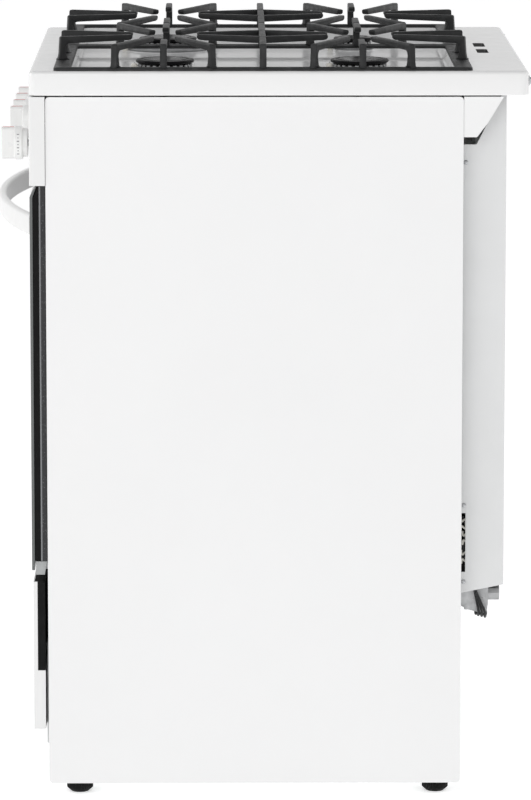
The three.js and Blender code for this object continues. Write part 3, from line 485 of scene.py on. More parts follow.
def eased(height, r, k=4):
    """(inset, level) up a block's side: flat end, quarter arc of radius r, wall, quarter arc, flat end."""
    t = np.linspace(0, np.pi / 2, k + 1)
    low = np.stack([r * (1 - np.sin(t)), r * (1 - np.cos(t))], 1)
    high = low[::-1] * [1, -1] + [0, height]
    wall = [[0, r + 0.15], [0, height - r - 0.15]]
    return np.concatenate([[[r + 0.4, 0]], low, wall, high, [[r + 0.4, height]]])


def soft_block(low, high, axis="z", corner=2.0, r=0.5, k=5):
    """A box with rounded plan corners and eased ends: each ring is the plan inset as eased() says."""
    a, b, c = AXES[axis]
    low, high = np.asarray(low, float), np.asarray(high, float)
    mid, half = (low + high) / 2, (high - low) / 2
    profile = eased(high[c] - low[c], r)
    rings = np.empty((len(profile), 4 * (k + 1), 3))
    for ring, (inset, level) in zip(rings, profile):
        plan = rounded_plan(half[a] - inset, half[b] - inset, max(corner - inset, 0.05), k)
        ring[:, a] = mid[a] + plan[:, 0]
        ring[:, b] = mid[b] + plan[:, 1]
        ring[:, c] = low[c] + level
    return shell(rings)


def turned(profile, at, axis="z", n=48, swell=None, closed=False):
    """A (radius, level) profile turned round an axis through at, with swell(angle, row) added to it."""
    a, b, c = AXES[axis]
    profile = np.asarray(profile, float)
    angle = np.arange(n) * 2 * np.pi / n
    radius = profile[:, :1] + (swell(angle[None], np.arange(len(profile))[:, None]) if swell else 0)
    rings = np.empty((len(profile), n, 3))
    rings[..., a] = at[a] + radius * np.cos(angle)
    rings[..., b] = at[b] + radius * np.sin(angle)
    rings[..., c] = at[c] + profile[:, 1:2]
    return shell(rings, closed=closed)


def circle(r, n=14):
    """Points (r cos t, r sin t)."""
    angle = np.arange(n) * 2 * np.pi / n
    return np.stack([r * np.cos(angle), r * np.sin(angle)], 1)


def along(path, section, up=(1.0, 0.9, 1.1), closed=False):
    """A section carried along a path: each ring is the path's point plus the section across its heading."""
    path = np.asarray(path, float)
    if closed:
        ahead = np.roll(path, -1, 0) - np.roll(path, 1, 0)
    else:
        ahead = np.gradient(path, axis=0)
    ahead /= np.linalg.norm(ahead, axis=1, keepdims=True)
    side = np.cross(ahead, up)
    side /= np.linalg.norm(side, axis=1, keepdims=True)
    lift = np.cross(side, ahead)
    rings = path[:, None] + section[None, :, :1] * side[:, None] + section[None, :, 1:] * lift[:, None]
    return shell(rings, ends=not closed, closed=closed)


def bent_path(corners, bend, k=8):
    """Straight runs joined by quadratic curves, which start and end a bend's length from each corner."""
    corners = np.asarray(corners, float)
    t = np.linspace(0, 1, k)[:, None]
    pieces = [corners[:1]]
    for before, at, after in zip(corners, corners[1:], corners[2:]):
        start = at + (before - at) / np.linalg.norm(before - at) * bend
        end = at + (after - at) / np.linalg.norm(after - at) * bend
        pieces.append((1 - t) ** 2 * start + 2 * t * (1 - t) * at + t**2 * end)
    return np.concatenate(pieces + [corners[-1:]])


def inset(loop, by):
    """A closed (a, b) loop moved inwards along its own normals."""
    ahead = np.roll(loop, -1, 0) - np.roll(loop, 1, 0)
    ahead /= np.linalg.norm(ahead, axis=1, keepdims=True)
    x, y = loop.T
    turn = np.sign(np.sum(x * np.roll(y, -1) - np.roll(x, -1) * y))
    return loop + turn * by * np.stack([-ahead[:, 1], ahead[:, 0]], 1)


def cast_plate(loop, origin, heading, width, r=1.6):
    """A side outline (along, level) given a width: rings inset as a quarter circle round off its rims."""
    across = np.array([-heading[1], heading[0]])
    t = np.linspace(0, np.pi / 2, 4)
    half = [(r * (1 - math.sin(a)), -width / 2 + r * (1 - math.cos(a))) for a in t]
    profile = half + [(i, -w) for i, w in half[::-1]]
    rings = np.empty((len(profile), len(loop), 3))
    for ring, (by, w) in zip(rings, profile):
        line = inset(loop, by)
        ring[:, :2] = origin + line[:, :1] * heading + w * across
        ring[:, 2] = line[:, 1]
    return shell(rings)


def lay(name, parts, finish, body, crease=35.0, tidy=True):
    """Puts (points, faces) parts into one mesh, in metres, and sets it on its body."""
    faces, start = [], 0
    for points, groups in parts:
        for group in groups:
            faces.extend((np.asarray(group) + start).tolist())
        start += len(points)
    mesh = bpy.data.meshes.new(name)
    mesh.from_pydata((np.concatenate([p for p, _ in parts]) * MM).tolist(), [], faces)
    if tidy:
        work = bmesh.new()
        work.from_mesh(mesh)
        bmesh.ops.recalc_face_normals(work, faces=work.faces)
        work.to_mesh(mesh)
        work.free()
    mesh.shade_smooth()
    mesh.set_sharp_from_angle(angle=math.radians(crease))
    mesh.materials.append(FINISH[finish])
    piece = bpy.data.objects.new(name, mesh)
    bpy.context.scene.collection.objects.link(piece)
    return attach(piece, body)


def ease(node, width, segments=2, angle=30.0):
    """Softens a CAD node's sharp edges without touching its mesh."""
    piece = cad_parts[node]
    weld = piece.modifiers.new("weld", "WELD")
    weld.merge_threshold = 0.00002
    bevel = piece.modifiers.new("edges", "BEVEL")
    bevel.width = width * MM
    bevel.segments = segments
    bevel.limit_method = "ANGLE"
    bevel.angle_limit = math.radians(angle)
    bevel.harden_normals = True
    bevel.use_clamp_overlap = True


# ---------------------------------------------------------------- hob


def smooth(t):
    """0 to 1 with level ends: 3t^2 - 2t^3."""
    t = np.clip(t, 0, 1)
    return t * t * (3 - 2 * t)


def inside(x, y, centre, half, r):
    """Signed distance to a rounded rectangle, negative inside: |q - half + r| past its corners, less r."""
    dx = np.abs(x - centre[0]) - half[0] + r
    dy = np.abs(y - centre[1]) - half[1] + r
    return np.hypot(np.maximum(dx, 0), np.maximum(dy, 0)) + np.minimum(np.maximum(dx, dy), 0) - r


def cooktop_deck():
    """The cooktop as one sheet over a grid (u, v).
    Inside, the level is the deck less the well, ridge, seats and vents: smooth steps of signed distances.
    Past the flat, the grid runs down the edge arc, the skirt and its turned-in hem, and at each corner a
    square is mapped to a quarter disc."""
    low, high = span("cooktop")
    centre, half = (low + high) / 2, (high - low) / 2
    edge, corner, hem = 5.0, 10.0, 1.6
    arc = np.linspace(0, np.pi / 2, 7)
    drop = high[2] - low[2]
    curl = arc[1:]
    out = np.concatenate([edge * np.sin(arc), [edge], edge - hem * (1 - np.cos(curl)), [edge - hem - 3]])
    down = np.concatenate([edge * (1 - np.cos(arc)), [drop - hem], drop - hem + hem * np.sin(curl), [drop]])
    run = np.concatenate([[0], np.cumsum(np.hypot(np.diff(out), np.diff(down)))])
    flat = corner - edge
    well_low = span("grate_left")[0][1] + 13.6
    well_high = span("grate_left")[1][1] - 13.6
    well_half = (half[0] - 17.0, (well_high - well_low) / 2)
    well_centre = (0.0, (well_low + well_high) / 2)

    def lines(size, places):
        """Grid lines across a half size: even ones, and closer ones r either side of each place."""
        wanted = [np.arange(-size + edge, size - edge, 4.2), [size - edge, -size + edge]]
        wanted += [p + np.linspace(-r, r, k) for p, r, k in places]
        inner = np.unique(np.round(np.concatenate(wanted), 2))
        inner = inner[np.abs(inner) <= size - edge]
        keep = np.concatenate([[True], np.diff(inner) > 0.45])
        inner = inner[keep]
        inner[-1] = size - edge
        return np.concatenate([-(size - edge) - run[:0:-1], inner, size - edge + run[1:]])

    wx = [(s * (well_half[0] - 6), 8, 11) for s in (-1, 1)] + [(0, 14, 11)]
    wx += [(s * p, 3, 9) for s in (-1, 1) for p in (16, 67)]
    wy = [(well_centre[1] - centre[1] + s * (well_half[1] - 6), 8, 11) for s in (-1, 1)]
    wy += [(VENT_Y - centre[1] + s * 6.4, 3, 9) for s in (-1, 1)]
    u, v = np.meshgrid(lines(half[0], wx), lines(half[1], wy), indexing="ij")
    su = np.maximum(np.abs(u) - (half[0] - corner), 0)
    sv = np.maximum(np.abs(v) - (half[1] - corner), 0)
    reach = np.maximum(su, sv)
    length = np.hypot(su, sv)
    past = np.maximum(reach - flat, 0)
    radius = np.where(reach > flat, flat + np.interp(past, run, out), reach)
    unit = np.where(length > 0, radius / np.maximum(length, 1e-9), 0)
    x = centre[0] + np.sign(u) * (np.minimum(np.abs(u), half[0] - corner) + su * unit)
    y = centre[1] + np.sign(v) * (np.minimum(np.abs(v), half[1] - corner) + sv * unit)
    z = high[2] - np.interp(past, run, down)
    depth = high[2] - span("burner_head_left_front")[0][2] - 6.0
    wall = inside(x, y, well_centre, well_half, 24.0)
    sunk = smooth((0.5 - wall) / 11.0)
    ridge = 2.6 * (0.5 + 0.5 * np.cos(np.pi * np.clip(x / 13.0, -1, 1)))
    z -= sunk * (depth - ridge)
    for name in BURNERS:
        low_b, high_b = span(f"burner_head_{name}")
        mid = (low_b + high_b) / 2
        ring = np.hypot(x - mid[0], y - mid[1]) - (high_b[0] - low_b[0]) / 2 - 10.0
        z -= 1.3 * (0.5 + 0.5 * np.cos(np.pi * np.clip(ring / 8.0, -1, 1)))
    for side in (-1, 1):
        slot = inside(x, y, (side * 41.5, VENT_Y), (25.6, 6.45), 2.0)
        z -= 9.0 * smooth((0.7 - slot) / 1.6)
    m, n = u.shape
    i, j = np.meshgrid(np.arange(m - 1), np.arange(n - 1), indexing="ij")
    quads = np.stack([i * n + j, (i + 1) * n + j, (i + 1) * n + j + 1, i * n + j + 1], -1).reshape(-1, 4)
    piece = lay(
        "cooktop_deck",
        [(np.stack([x, y, z], -1).reshape(-1, 3), [quads])],
        "deck_enamel",
        BODY,
        crease=60,
        tidy=False,
    )
    gauge = piece.modifiers.new("gauge", "SOLIDIFY")
    gauge.thickness = 1.1 * MM
    gauge.offset = -1
    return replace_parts(piece, "cooktop")


def finger_loop(length, top, foot, leg=True, both=False, depth=8.6, stem=7.0, fillet=6.5):
    """Side outline (along, level) of a cast finger: an upright that flares at its foot and runs by a
    quarter-circle fillet into a round-tipped bar. both puts an upright at each end, leg off leaves a bar."""
    q = np.linspace(0, np.pi / 2, 6)
    under = top - depth
    rise = np.array([[-3.2, foot], [-1.8, foot + 2.5], [-0.6, foot + 8.0], [0.6, top - 3.0]])
    shoulder = np.stack([3.0 - 2.4 * np.cos(q), top - 2.4 + 2.4 * np.sin(q)], 1)
    hollow = np.stack([stem + fillet - fillet * np.sin(q), under - fillet + fillet * np.cos(q)], 1)
    base = np.array([[stem + 1.0, foot + 8.0], [stem + 2.8, foot + 2.5], [stem + 5.0, foot]])
    tip = np.stack([length - 2.2 + 2.2 * np.sin(q), top - 2.2 + 2.2 * np.cos(q)], 1)
    toe = np.array([[length - 0.4, under + 4.2], [length - 2.4, under + 2.3], [length - 6.0, under + 1.6]])
    if both:
        left = np.concatenate([rise, shoulder])
        inner = np.concatenate([hollow, base])
        right = left[::-1] * [-1, 1] + [length, 0]
        return np.concatenate([left, right, inner[::-1] * [-1, 1] + [length, 0], inner])
    if leg:
        return np.concatenate([rise, shoulder, tip, toe, hollow, base])
    start = np.array([[0.0, under], [0.0, top]])
    return np.concatenate([start, tip, toe])


def grate(side, name):
    """One cast grate: a base ring whose section runs from an outer to an inner rounded rectangle, and the
    fingers that stand on it, straight across and slantwise, round each burner."""
    low, high = span(f"grate_{name}")
    base, top = low[2], high[2]
    mid = (low[1] + high[1]) / 2
    outer, inner = (high[0], low[0]) if side > 0 else (low[0], high[0])
    centre = np.array([(low[0] + high[0]) / 2, mid])
    half = (high - low)[:2] / 2
    ring_out = centre + rounded_plan(half[0], half[1], 7.0, 6)
    ring_in = centre + rounded_plan(half[0] - 10, half[1] - 21, 5.0, 6)
    section = [(0, 0), (0, 2.4), (0.05, 3.4), (0.16, 4.0), (0.8, 4.0), (0.95, 3.2), (1, 2.0), (1, 0)]
    rings = np.empty((len(section), len(ring_out), 3))
    for ring, (f, level) in zip(rings, section):
        ring[:, :2] = ring_out * (1 - f) + ring_in * f
        ring[:, 2] = base + level
    parts = [shell(rings, closed=True)]
    foot = base + 3.2
    straight_tip = 78
    rail_root, end_root, far_tip, near_tip = 61, 44, 41, 16

    def finger(start, end, **shape):
        """Adds one finger from start to end, in plan."""
        start, end = np.asarray(start, float), np.asarray(end, float)
        length = np.linalg.norm(end - start)
        heading = (end - start) / length
        parts.append(cast_plate(finger_loop(length, top, foot, **shape), start, heading, width=8.4))

    finger((outer, mid), (inner, mid), both=True)
    for b in (b for b in BURNERS if b.startswith(name)):
        head_low, head_high = span(f"burner_head_{b}")
        bx, by = (head_low[0] + head_high[0]) / 2, (head_low[1] + head_high[1]) / 2
        end = -1 if by < mid else 1
        edge = low[1] if end < 0 else high[1]
        for rail, way in ((outer, side), (inner, -side)):
            finger((rail, by), (bx + way * straight_tip, by))
            for step in (-1, 1):
                finger((rail, by + step * rail_root), (bx + way * far_tip, by + step * near_tip))
        for across in (-1, 1):
            root, tip = bx + across * end_root, bx + across * near_tip
            finger((root, edge - end * 4), (tip, by + end * far_tip))
            finger((root, mid), (tip, by - end * far_tip), leg=False)
    piece = lay(f"cast_grate_{name}", parts, "cast_iron", f"grate_{name}", crease=42)
    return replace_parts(piece, f"grate_{name}")


def burner(name):
    """A turned head whose crown is notched into flame ports by a clipped cosine, a black band behind them as
    painted shade for the hollow inside the head, the turned cap, and the electrode's turned sleeve and tip."""
    low, high = span(f"burner_head_{name}")
    cap_low, cap_high = span(f"burner_cap_{name}")
    at = np.array([(low[0] + high[0]) / 2, (low[1] + high[1]) / 2, 0.0])
    flange = (high[0] - low[0]) / 2
    cap = (cap_high[0] - cap_low[0]) / 2
    seat = low[2] + 6.3
    crown = cap - 2.6
    waist = crown - 3.0
    top = high[2]
    if flange > cap + 6:
        skirt = [(flange - 1, seat), (flange, seat + 1), (flange, seat + 3.2), (flange - 2, seat + 4.4)]
        skirt += [(waist + 3, seat + 5)]
    else:
        skirt = [(cap - 1, seat), (cap, seat + 1), (cap, seat + 3.4), (cap - 1.4, seat + 4.6)]
        skirt += [(waist + 1, seat + 5)]
    profile = [(9, low[2]), (12, low[2]), (12, seat)] + skirt
    profile += [(waist, seat + 5.4), (crown, seat + 6.2), (crown, top - 2.6), (crown, top - 0.8)]
    profile += [(crown - 1, top), (9, top)]
    ports = max(20, int(round(2 * np.pi * crown / 9.0)))
    notched = (10, 11, 12)

    def ports_cut(angle, row):
        """How far a notched row is cut in."""
        wave = np.clip(1.8 * np.cos(ports * angle) - 0.5, 0, 1)
        return -4.6 * wave * np.isin(row, notched)

    parts = [turned(profile, at, n=ports * 8, swell=ports_cut)]
    piece = lay(f"burner_{name}_head", parts, "burner_casting", BODY, crease=32)
    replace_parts(piece, f"burner_head_{name}")
    # Painted shade: a black ring inside the crown, seen through the ports where the head's hollow would be
    # dark.
    band_in, band_out, band_low, band_top = crown - 6, crown - 1.2, seat + 6.6, top - 0.3
    band = [(band_in, band_low), (band_out, band_low), (band_out, band_top), (band_in, band_top)]
    dark = [turned(band, at, n=72, closed=True)]
    lay(f"burner_{name}_ports", dark, "black_moulding", BODY)
    z0, z1 = cap_low[2], cap_high[2]
    rim = np.linspace(-0.3 * np.pi, np.pi / 2, 7)
    lid = [(6, z0), (cap - 5, z0), (cap - 3, z0 + 0.2)]
    lid += [(cap - 2.4 + 2.4 * math.cos(a), z0 + 2.6 + 2.2 * math.sin(a)) for a in rim]
    lid += [(cap - 5, z1 - 0.55), (cap - 7, z1 - 0.35), (cap - 7.6, z1 - 0.9), (cap - 9.4, z1 - 0.9)]
    lid += [(cap - 10, z1 - 0.3), (cap * 0.45, z1 - 0.05), (3, z1)]
    parts = [turned(lid, at, n=80)]
    piece = lay(f"burner_{name}_cap", parts, "cap_enamel", f"burner_cap_{name}")
    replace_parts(piece, f"burner_cap_{name}")
    reach = flange + 5.0
    spark = at + [reach * math.cos(1.2), -reach * math.sin(1.2), seat - 0.3]
    sleeve = [(2.0, -2), (3.6, -2), (3.6, 7.4), (4.4, 7.8), (4.4, 9.4), (3.6, 10.2), (3.3, 11.4)]
    sleeve += [(1.6, 11.8)]
    lay(f"spark_{name}_sleeve", [turned(sleeve, spark, n=24)], "ceramic", BODY)
    wire = [(0.9, 11), (0.9, 12.8), (0.5, 13.4)]
    lay(f"spark_{name}_tip", [turned(wire, spark, n=12)], "zinc_screw", BODY)


# ---------------------------------------------------------------- front


def knob(name):
    """A turned collar and skirt with fine flutes, a rounded grip blade, and its red pointer line."""
    low, high = span(f"knob_{name}")
    at = np.array([(low[0] + high[0]) / 2, 0.0, (low[2] + high[2]) / 2])
    face, back = low[1], high[1]
    r = (high[2] - low[2]) / 2
    skirt_back, skirt_front = back - 6.4, back - 16.9
    profile = [(5.2, back), (17.2, back), (COLLAR, back - 0.6), (COLLAR, skirt_back + 0.3)]
    profile += [(r - 1.0, skirt_back), (r, skirt_back - 1.0), (r, skirt_front + 2.2)]
    profile += [(r - 0.6, skirt_front + 0.9), (r - 2.0, skirt_front), (5, skirt_front)]

    def flutes(angle, row):
        """Sixty shallow waves round the skirt."""
        return 0.16 * np.cos(60 * angle) * np.isin(row, (5, 6))

    body = turned(profile[::-1], at, axis="y", n=240, swell=flutes)
    tall = r - 1.0
    blade = soft_block(
        (at[0] - 5.6, face, at[2] - tall),
        (at[0] + 5.6, skirt_front + 1.5, at[2] + tall),
        "y",
        corner=5.2,
        r=1.5,
        k=8,
    )
    node = f"knob_{name}"
    piece = lay(f"range_{node}", [body, blade], "white_moulding", node, crease=30)
    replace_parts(piece, node)
    x, top = at[0], at[2] + tall
    line = [
        soft_block((x - 1.1, face + 1.6, top - 0.5), (x + 1.1, skirt_front, top + 0.2), "z", 0.5, 0.1, 3),
        soft_block((x - 0.8, face - 0.12, top - 11), (x + 0.8, face + 0.5, top - 1.7), "y", 0.5, 0.1, 3),
    ]
    lay(f"{node}_line", line, "red_mark", node)


def knob_scale(name):
    """Dots down the right of the oven knob's skirt, or one on a collar: x = sqrt(r^2 - z^2) for each."""
    low, high = span(f"knob_{name}")
    x, z = (low[0] + high[0]) / 2, (low[2] + high[2]) / 2
    oven = name == "oven"
    r, y, tall = ((high[2] - low[2]) / 2, high[1] - 11.5, 0.7) if oven else (COLLAR, high[1] - 3.2, 1.5)
    steps = np.arange(-12, 13, 4) if oven else np.array([4.0])
    dots = []
    for step in steps:
        out = math.sqrt(r * r - step * step) - 0.5
        wide = 0.7 if oven and step % 8 == 0 else 1.5
        low_dot = (x + out, y - wide, z + step - tall)
        dots.append(soft_block(low_dot, (x + out + 0.75, y + wide, z + step + tall), "x", 0.5, 0.1, 3))
    tone = "grey_mark" if oven else "red_mark"
    lay(f"knob_{name}_scale", dots, tone, f"knob_{name}")


def fascia_marks():
    """Printed ticks round each knob: thin bars set along radii, and a dot at the closed place."""
    parts, dots = [], []
    w, dot = 0.35, [(0.3, -0.05), (1.3, -0.05), (1.3, 0.3), (0.3, 0.3)]
    for name in KNOBS:
        low, high = span(f"knob_{name}")
        x, z = (low[0] + high[0]) / 2, (low[2] + high[2]) / 2
        oven = name == "oven"
        near, far = 24.5, 27.5 if oven else 26.5
        for t in np.radians(np.arange(30, 290, 20) if oven else np.arange(90, 211, 30)):
            radial = np.array([-math.sin(t), math.cos(t)])
            across = np.array([radial[1], -radial[0]])
            ends = ((near, -w), (far, -w), (far, w), (near, w))
            loop = np.array([a * radial + b * across for a, b in ends])
            rings = np.empty((2, 4, 3))
            rings[..., 0] = x + loop[:, 0]
            rings[..., 2] = z + loop[:, 1]
            rings[0, :, 1], rings[1, :, 1] = FRONT - 0.05, FRONT + 0.3
            parts.append(shell(rings))
        dots.append(turned(dot, np.array([x, FRONT, z + 26.5]), "y", 20))
    lay("fascia_ticks", parts, "grey_mark", BODY)
    lay("fascia_dots", dots, "red_mark", BODY)


def bowed_handle():
    """A rounded bar carried along an arc in plan: centre line reach = sqrt(R^2 - x^2) - (R - sagitta)."""
    low, high = span("door_handle")
    reach = high[1] - low[1] + 0.3
    half = high[0]
    radius = (half * half + reach * reach) / (2 * reach)
    middle = radius - 5.0
    centre_y = FRONT - (reach - radius)
    limit = math.acos(min(1.0, (radius - reach - 3.5) / middle))
    t = np.linspace(-limit, limit, 160)
    level = (low[2] + high[2]) / 2
    path = np.stack([middle * np.sin(t), centre_y - middle * np.cos(t), np.full_like(t, level)], 1)
    bar = along(path, rounded_plan(5.0, (high[2] - low[2]) / 2, 4.2, 7), up=(0, 0, 1))
    piece = lay("bowed_handle", [bar], "glowing_handle_moulding", DOOR, 45)
    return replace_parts(piece, "door_handle")


# ---------------------------------------------------------------- oven, back and foot


def oven_rack(level):
    """Round wires: a rim along a rounded rectangle, wires from front to back, and three braces below."""
    node = f"oven_rack_{level}"
    low, high = span(node)
    mid, half = (low + high) / 2, (high - low) / 2
    rim = np.empty((60, 3))
    plan = rounded_plan(half[0] - 3, half[1] - 3, 14, 14)
    rim[:, 0], rim[:, 1], rim[:, 2] = mid[0] + plan[:, 0], mid[1] + plan[:, 1], low[2] + 3.0
    parts = [along(rim, circle(3.0), up=(0, 0, 1), closed=True)]
    for x in np.linspace(low[0], high[0], 25)[1:-1]:
        line = bent_path([(x, low[1] + 3, low[2] + 3.6), (x, high[1] - 3, low[2] + 3.6)], 4)
        parts.append(along(line, circle(1.5, 8)))
    for y in (low[1] + 22, mid[1], high[1] - 22):
        brace = [(low[0] + 3, y, low[2] + 1.9), (high[0] - 3, y, low[2] + 1.9)]
        parts.append(along(brace, circle(1.7, 8)))
    piece = lay(f"wire_{node}", parts, "chrome_wire", node)
    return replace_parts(piece, node)


def gas_pipe():
    """The rigid supply pipe: a circle carried up from the regulator, along the body's side and down to the
    manifold's end, with a six-sided nut at its foot."""
    high = span("gas_line")[1]
    reg_low, reg_high = span("gas_regulator")
    man_low, man_high = span("gas_manifold")
    x, y = reg_low[0] + 22, reg_low[1] + 20.5
    side, run, level = high[0] - 7, high[2] - 7, (man_low[2] + man_high[2]) / 2
    back = span("oven_liner")[1][1]
    corners = [
        (x, y, reg_high[2] + 0.3),
        (x, y, run),
        (x, back + 34, run),
        (side, back + 10, run),
        (side, man_low[1] + 36, run),
        (side, man_low[1] + 36, level),
        (man_high[0] + 0.3, man_low[1] + 36, level),
    ]
    parts = [along(bent_path(corners, 10), circle(7.0, 20))]
    nut = [(7, 0), (11.5, 0), (12, 0.6), (12, 11.4), (11.5, 12), (7, 12)]
    parts.append(turned(nut, np.array([x, y, reg_high[2] + 0.4]), n=6))
    piece = lay("supply_pipe", parts, "galvanised", BODY)
    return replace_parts(piece, "gas_line")


def harness():
    """Three sleeved wires, their clip and plug, the shield, and the pale leads in the cover's slot: circles
    carried along bent paths, the leads' own swinging as cosines."""
    low, high = span("wiring_harness")
    edge = span("rear_cover")[1][0]
    rear, bottom = span("back_panel")[0][1] + 22, span("rear_cover")[0][2]
    hook, end, top, x0 = low[2] + 2.2, low[0] + 14, high[2] - 2.2, edge - 32
    slot = top - 108
    parts = []
    for i in range(3):
        x, out = x0 + (i - 1) * 4.8, rear + 7 + 4 * i
        corners = [(x, low[1], top), (x, rear, top), (x, rear, bottom + 2), (x, out, hook + 8)]
        corners += [(x - 12, out, hook), (end, out, hook)]
        parts.append(along(bent_path(corners, 7), circle(1.6, 14)))
    clip = ((x0 - 10, rear - 5, bottom + 14), (edge - 20.8, rear + 5, bottom + 22))
    parts.append(soft_block(*clip, "z", 2.0, 0.6))
    plug = ((end - 14, rear + 3, hook - 2.2), (end + 2, rear + 19, hook + 3))
    parts.append(soft_block(*plug, "z", 1.5, 0.6))
    front = rear - 19
    corners = [(x0, rear, slot + 4), (edge - 8, front + 5, slot + 12), (edge - 6, front + 4, slot + 36)]
    corners += [(edge - 8, front + 9, slot + 50), (edge - 6, front + 4, slot + 69)]
    parts.append(along(bent_path(corners, 5), circle(1.8, 12)))
    piece = lay("wire_harness", parts, "wire_sleeve", BODY)
    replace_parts(piece, "wiring_harness")
    shield = ((edge - 22, front + 1.5, bottom + 16), (edge - 20.8, front + 27, slot + 81))
    lay("lead_shield", [soft_block(*shield, "x", 3.0, 0.3)], "black_moulding", BODY)
    pale = []
    for shift, z0 in ((0.0, 10), (1.5, 34), (-1.0, 52)):
        t = np.linspace(0, 1, 28)[:, None]
        swing = front + 5.0 + shift - 3.4 * np.cos(2 * np.pi * t)
        level = slot + z0 + 17 * t + 3.5 * np.sin(4 * np.pi * t)
        pale.append(along(np.hstack([edge - 3.6 + 0 * t - 2.0 * t, swing, level]), circle(1.25, 10)))
    lay("spark_leads", pale, "ceramic", BODY)


def hex_screw(at, axis, way, r=4.2, washer=6.4, height=4.6):
    """A washer and a hexagon head: turned profiles, the head with six flats."""
    ring = [(1.2, 0), (washer - 0.3, 0), (washer, 0.3), (washer, 0.9), (washer - 0.4, 1.2), (1.2, 1.2)]
    head = [(0.8, 1.1), (r, 1.1), (r, height - 0.6), (r - 0.7, height), (0.8, height)]
    flip = np.array([1, way])
    return [turned(ring * flip, at, axis, 28), turned(head * flip, at, axis, 6)]


def pan_screw(at, axis, way, r):
    """A domed screw head: radius r cos t at height 2 sin t, with a shallow socket."""
    t = np.linspace(0, 1.25, 6)
    dome = [(r * math.cos(a), way * 2.1 * math.sin(a)) for a in t]
    return [turned([(0.5, 0)] + dome + [(1.0, 1.5 * way), (0.4, 1.3 * way)], at, axis, 20)]


def screws():
    """Every fastener that shows: turned heads on the cooktop's rear, the cover's flanges and back panel."""
    deck_high = span("cooktop")[1]
    cover_low, cover_high = span("rear_cover")
    flange_levels, panel_levels = (797.7, 365.9, 268.7), (80.0, 180.0)
    big = []
    for side in (-1, 1):
        big += hex_screw(np.array([side * (deck_high[0] - 15), deck_high[1], 901.0]), "y", 1)
    lay("cooktop_rear_screws", big, "zinc_screw", BODY, 25)
    small = []
    for side in (-1, 1):
        for level in flange_levels:
            at = np.array([side * cover_high[0], cover_low[1] + 4.0, level])
            small += pan_screw(at, "x", side, 3.0)
        for level in panel_levels:
            at = np.array([side * 284, span("back_panel")[1][1], level])
            small += pan_screw(at, "y", 1, 3.4)
    lay("casing_screws", small, "zinc_screw", BODY)


def levelling_foot(name):
    """A moulded foot: a turned disc with cosine ribs, and a stem whose radius steps as a thread."""
    node = f"foot_{name}"
    low, high = span(node)
    at = np.array([(low[0] + high[0]) / 2, (low[1] + high[1]) / 2, 0.0])
    r = (high[0] - low[0]) / 2
    profile = [(3, low[2]), (r - 5.5, low[2]), (r - 4.8, low[2] + 0.6), (r - 0.8, 4.2), (r - 0.3, 5.0)]
    profile += [(r - 0.3, 16.2), (r - 1.0, 17.0), (5.0, 17.2)]
    thread = np.arange(18.0, high[2] - 1, 0.625)
    profile += [(4.9 - 0.5 * (i % 2), z) for i, z in enumerate(thread)] + [(3.6, high[2])]

    def ribs(angle, row):
        """Thirty-six ribs on the rows of the wall."""
        return 0.3 * np.cos(36 * angle) * np.isin(row, (4, 5))

    parts = [turned(profile, at, n=144, swell=ribs)]
    piece = lay(f"{node}_moulding", parts, "black_moulding", node, 50)
    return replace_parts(piece, node)


# ---------------------------------------------------------------- the range

dress = {
    "side_panel_left": ("panel_paint", 1.0),
    "side_panel_right": ("panel_paint", 1.0),
    "control_panel": ("white_enamel", 1.6),
    "rear_brace": ("panel_paint", 0.3),
    "drawer_front": ("white_enamel", 0.9),
    "base_pan": ("galvanised", 0.4),
    "back_panel": ("galvanised", 0.2),
    "rear_cover": ("cover_paint", 0.4),
    "front_frame": ("black_paint", 0.4),
    "oven_liner": ("oven_enamel", 0.4),
    "oven_floor": ("oven_enamel", 0.4),
    "burner_box": ("galvanised", 0.3),
    "flue_duct": ("galvanised", 0.3),
    "oven_burner": ("galvanised", 0.4),
    "gas_manifold": ("burner_casting", 1.2),
    "gas_regulator": ("burner_casting", 1.2),
    "burner_bracket_left": ("burner_casting", 0.3),
    "burner_bracket_right": ("burner_casting", 0.3),
    "hinge_arm_left": ("zinc_screw", 0.5),
    "hinge_arm_right": ("zinc_screw", 0.5),
    "door_glass": ("door_glass_finish", 0.7),
    "door_frame": ("black_paint", 0.6),
    "door_liner": ("liner_enamel", 0.6),
    "door_window": ("inner_pane", 0.5),
    "door_channel": ("channel_zinc", 0.4),
    "drawer_backing": ("black_moulding", 0.8),
    "drawer_box": ("galvanised", 0.4),
    "oven_insulation": ("mineral_wool", 2.0),
    "door_gasket": ("woven_seal", 2.6),
}
for name in KNOBS:
    dress[f"valve_stem_{name}"] = ("zinc_screw", 0.6)
for node, (finish, width) in dress.items():
    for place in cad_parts[node].material_slots:
        place.material = FINISH[finish]
    ease(node, width, 3 if width > 0.9 else 2)

cooktop_deck()
for side, name in ((-1, "left"), (1, "right")):
    grate(side, name)
for name in BURNERS:
    burner(name)
for name in KNOBS:
    knob(name)
    knob_scale(name)
fascia_marks()
bowed_handle()
for level in ("lower", "upper"):
    oven_rack(level)
gas_pipe()
harness()
screws()
for name in FEET:
    levelling_foot(name)


# ---------------------------------------------------------------- studio


def floor():
    """A pale square sheet, lit a little from within so that it stays white round the range."""
    mesh = bpy.data.meshes.new("studio_floor")
    reach = 60.0
    corners = [(-reach, -reach, 0), (reach, -reach, 0), (reach, reach, 0), (-reach, reach, 0)]
    mesh.from_pydata(corners, [], [(0, 1, 2, 3)])
    made = Finish("studio_white", (0.93, 0.93, 0.93), 0.9)
    made.mottle(0.4, 0.004)
    made.shader.inputs["Emission Color"].default_value = (1, 1, 1, 1)
    made.shader.inputs["Emission Strength"].default_value = 0.50
    mesh.materials.append(made.material)
    piece = bpy.data.objects.new("studio_floor", mesh)
    bpy.context.scene.collection.objects.link(piece)


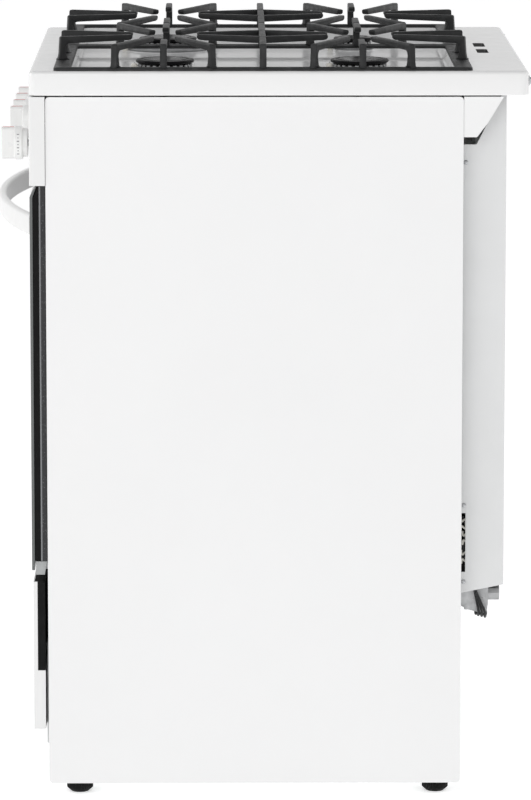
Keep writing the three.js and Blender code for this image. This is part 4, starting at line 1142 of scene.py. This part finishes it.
def softbox(name, at, towards, size, power):
    """A square area light aimed at a point."""
    data = bpy.data.lights.new(name, "AREA")
    data.size = size
    data.energy = power
    lamp = bpy.data.objects.new(name, data)
    lamp.location = at
    lamp.rotation_euler = (Vector(towards) - Vector(at)).to_track_quat("-Z", "Y").to_euler()
    bpy.context.scene.collection.objects.link(lamp)


def studio():
    """Even white surroundings, dimmer overhead, with broad soft boxes at the side, front and back."""
    world = bpy.data.worlds.new("studio")
    bpy.context.scene.world = world
    world.use_nodes = True
    tree = world.node_tree
    place = tree.nodes.new("ShaderNodeTexCoord")
    split = tree.nodes.new("ShaderNodeSeparateXYZ")
    ramp = tree.nodes.new("ShaderNodeValToRGB")
    tree.links.new(place.outputs["Generated"], split.inputs["Vector"])
    tree.links.new(split.outputs["Z"], ramp.inputs["Fac"])
    ramp.color_ramp.elements[0].position = 0.1
    ramp.color_ramp.elements[0].color = (1.0, 1.0, 1.0, 1)
    ramp.color_ramp.elements[1].position = 0.8
    ramp.color_ramp.elements[1].color = (0.56, 0.56, 0.57, 1)
    tree.links.new(ramp.outputs["Color"], tree.nodes["Background"].inputs["Color"])
    tree.nodes["Background"].inputs["Strength"].default_value = 0.8
    softbox("side_box", (3.4, -1.2, 2.4), (0.3, 0, 0.5), 2.2, 24)
    softbox("front_box", (-0.6, -3.4, 1.9), (0, -0.3, 0.6), 2.0, 22)
    softbox("back_box", (-1.2, 3.4, 2.4), (0, 0.3, 0.6), 2.0, 16)


def camera():
    """A long lens to the range's right-hand side, looking a little down."""
    data = bpy.data.cameras.new("side_camera")
    data.sensor_width = 36.0
    data.lens = 210.96
    data.shift_y = -0.165
    data.clip_end = 200.0
    lens = bpy.data.objects.new("side_camera", data)
    pitch, yaw = math.radians(8.116), math.radians(0.459)
    ahead = Vector((-math.cos(pitch) * math.cos(yaw), math.cos(pitch) * math.sin(yaw), -math.sin(pitch)))
    lens.location = (6.0304, -0.0371, 1.4871)
    lens.rotation_euler = ahead.to_track_quat("-Z", "Y").to_euler()
    bpy.context.scene.collection.objects.link(lens)
    bpy.context.scene.camera = lens


floor()
studio()
camera()
bpy.context.scene.view_settings.view_transform = "Standard"
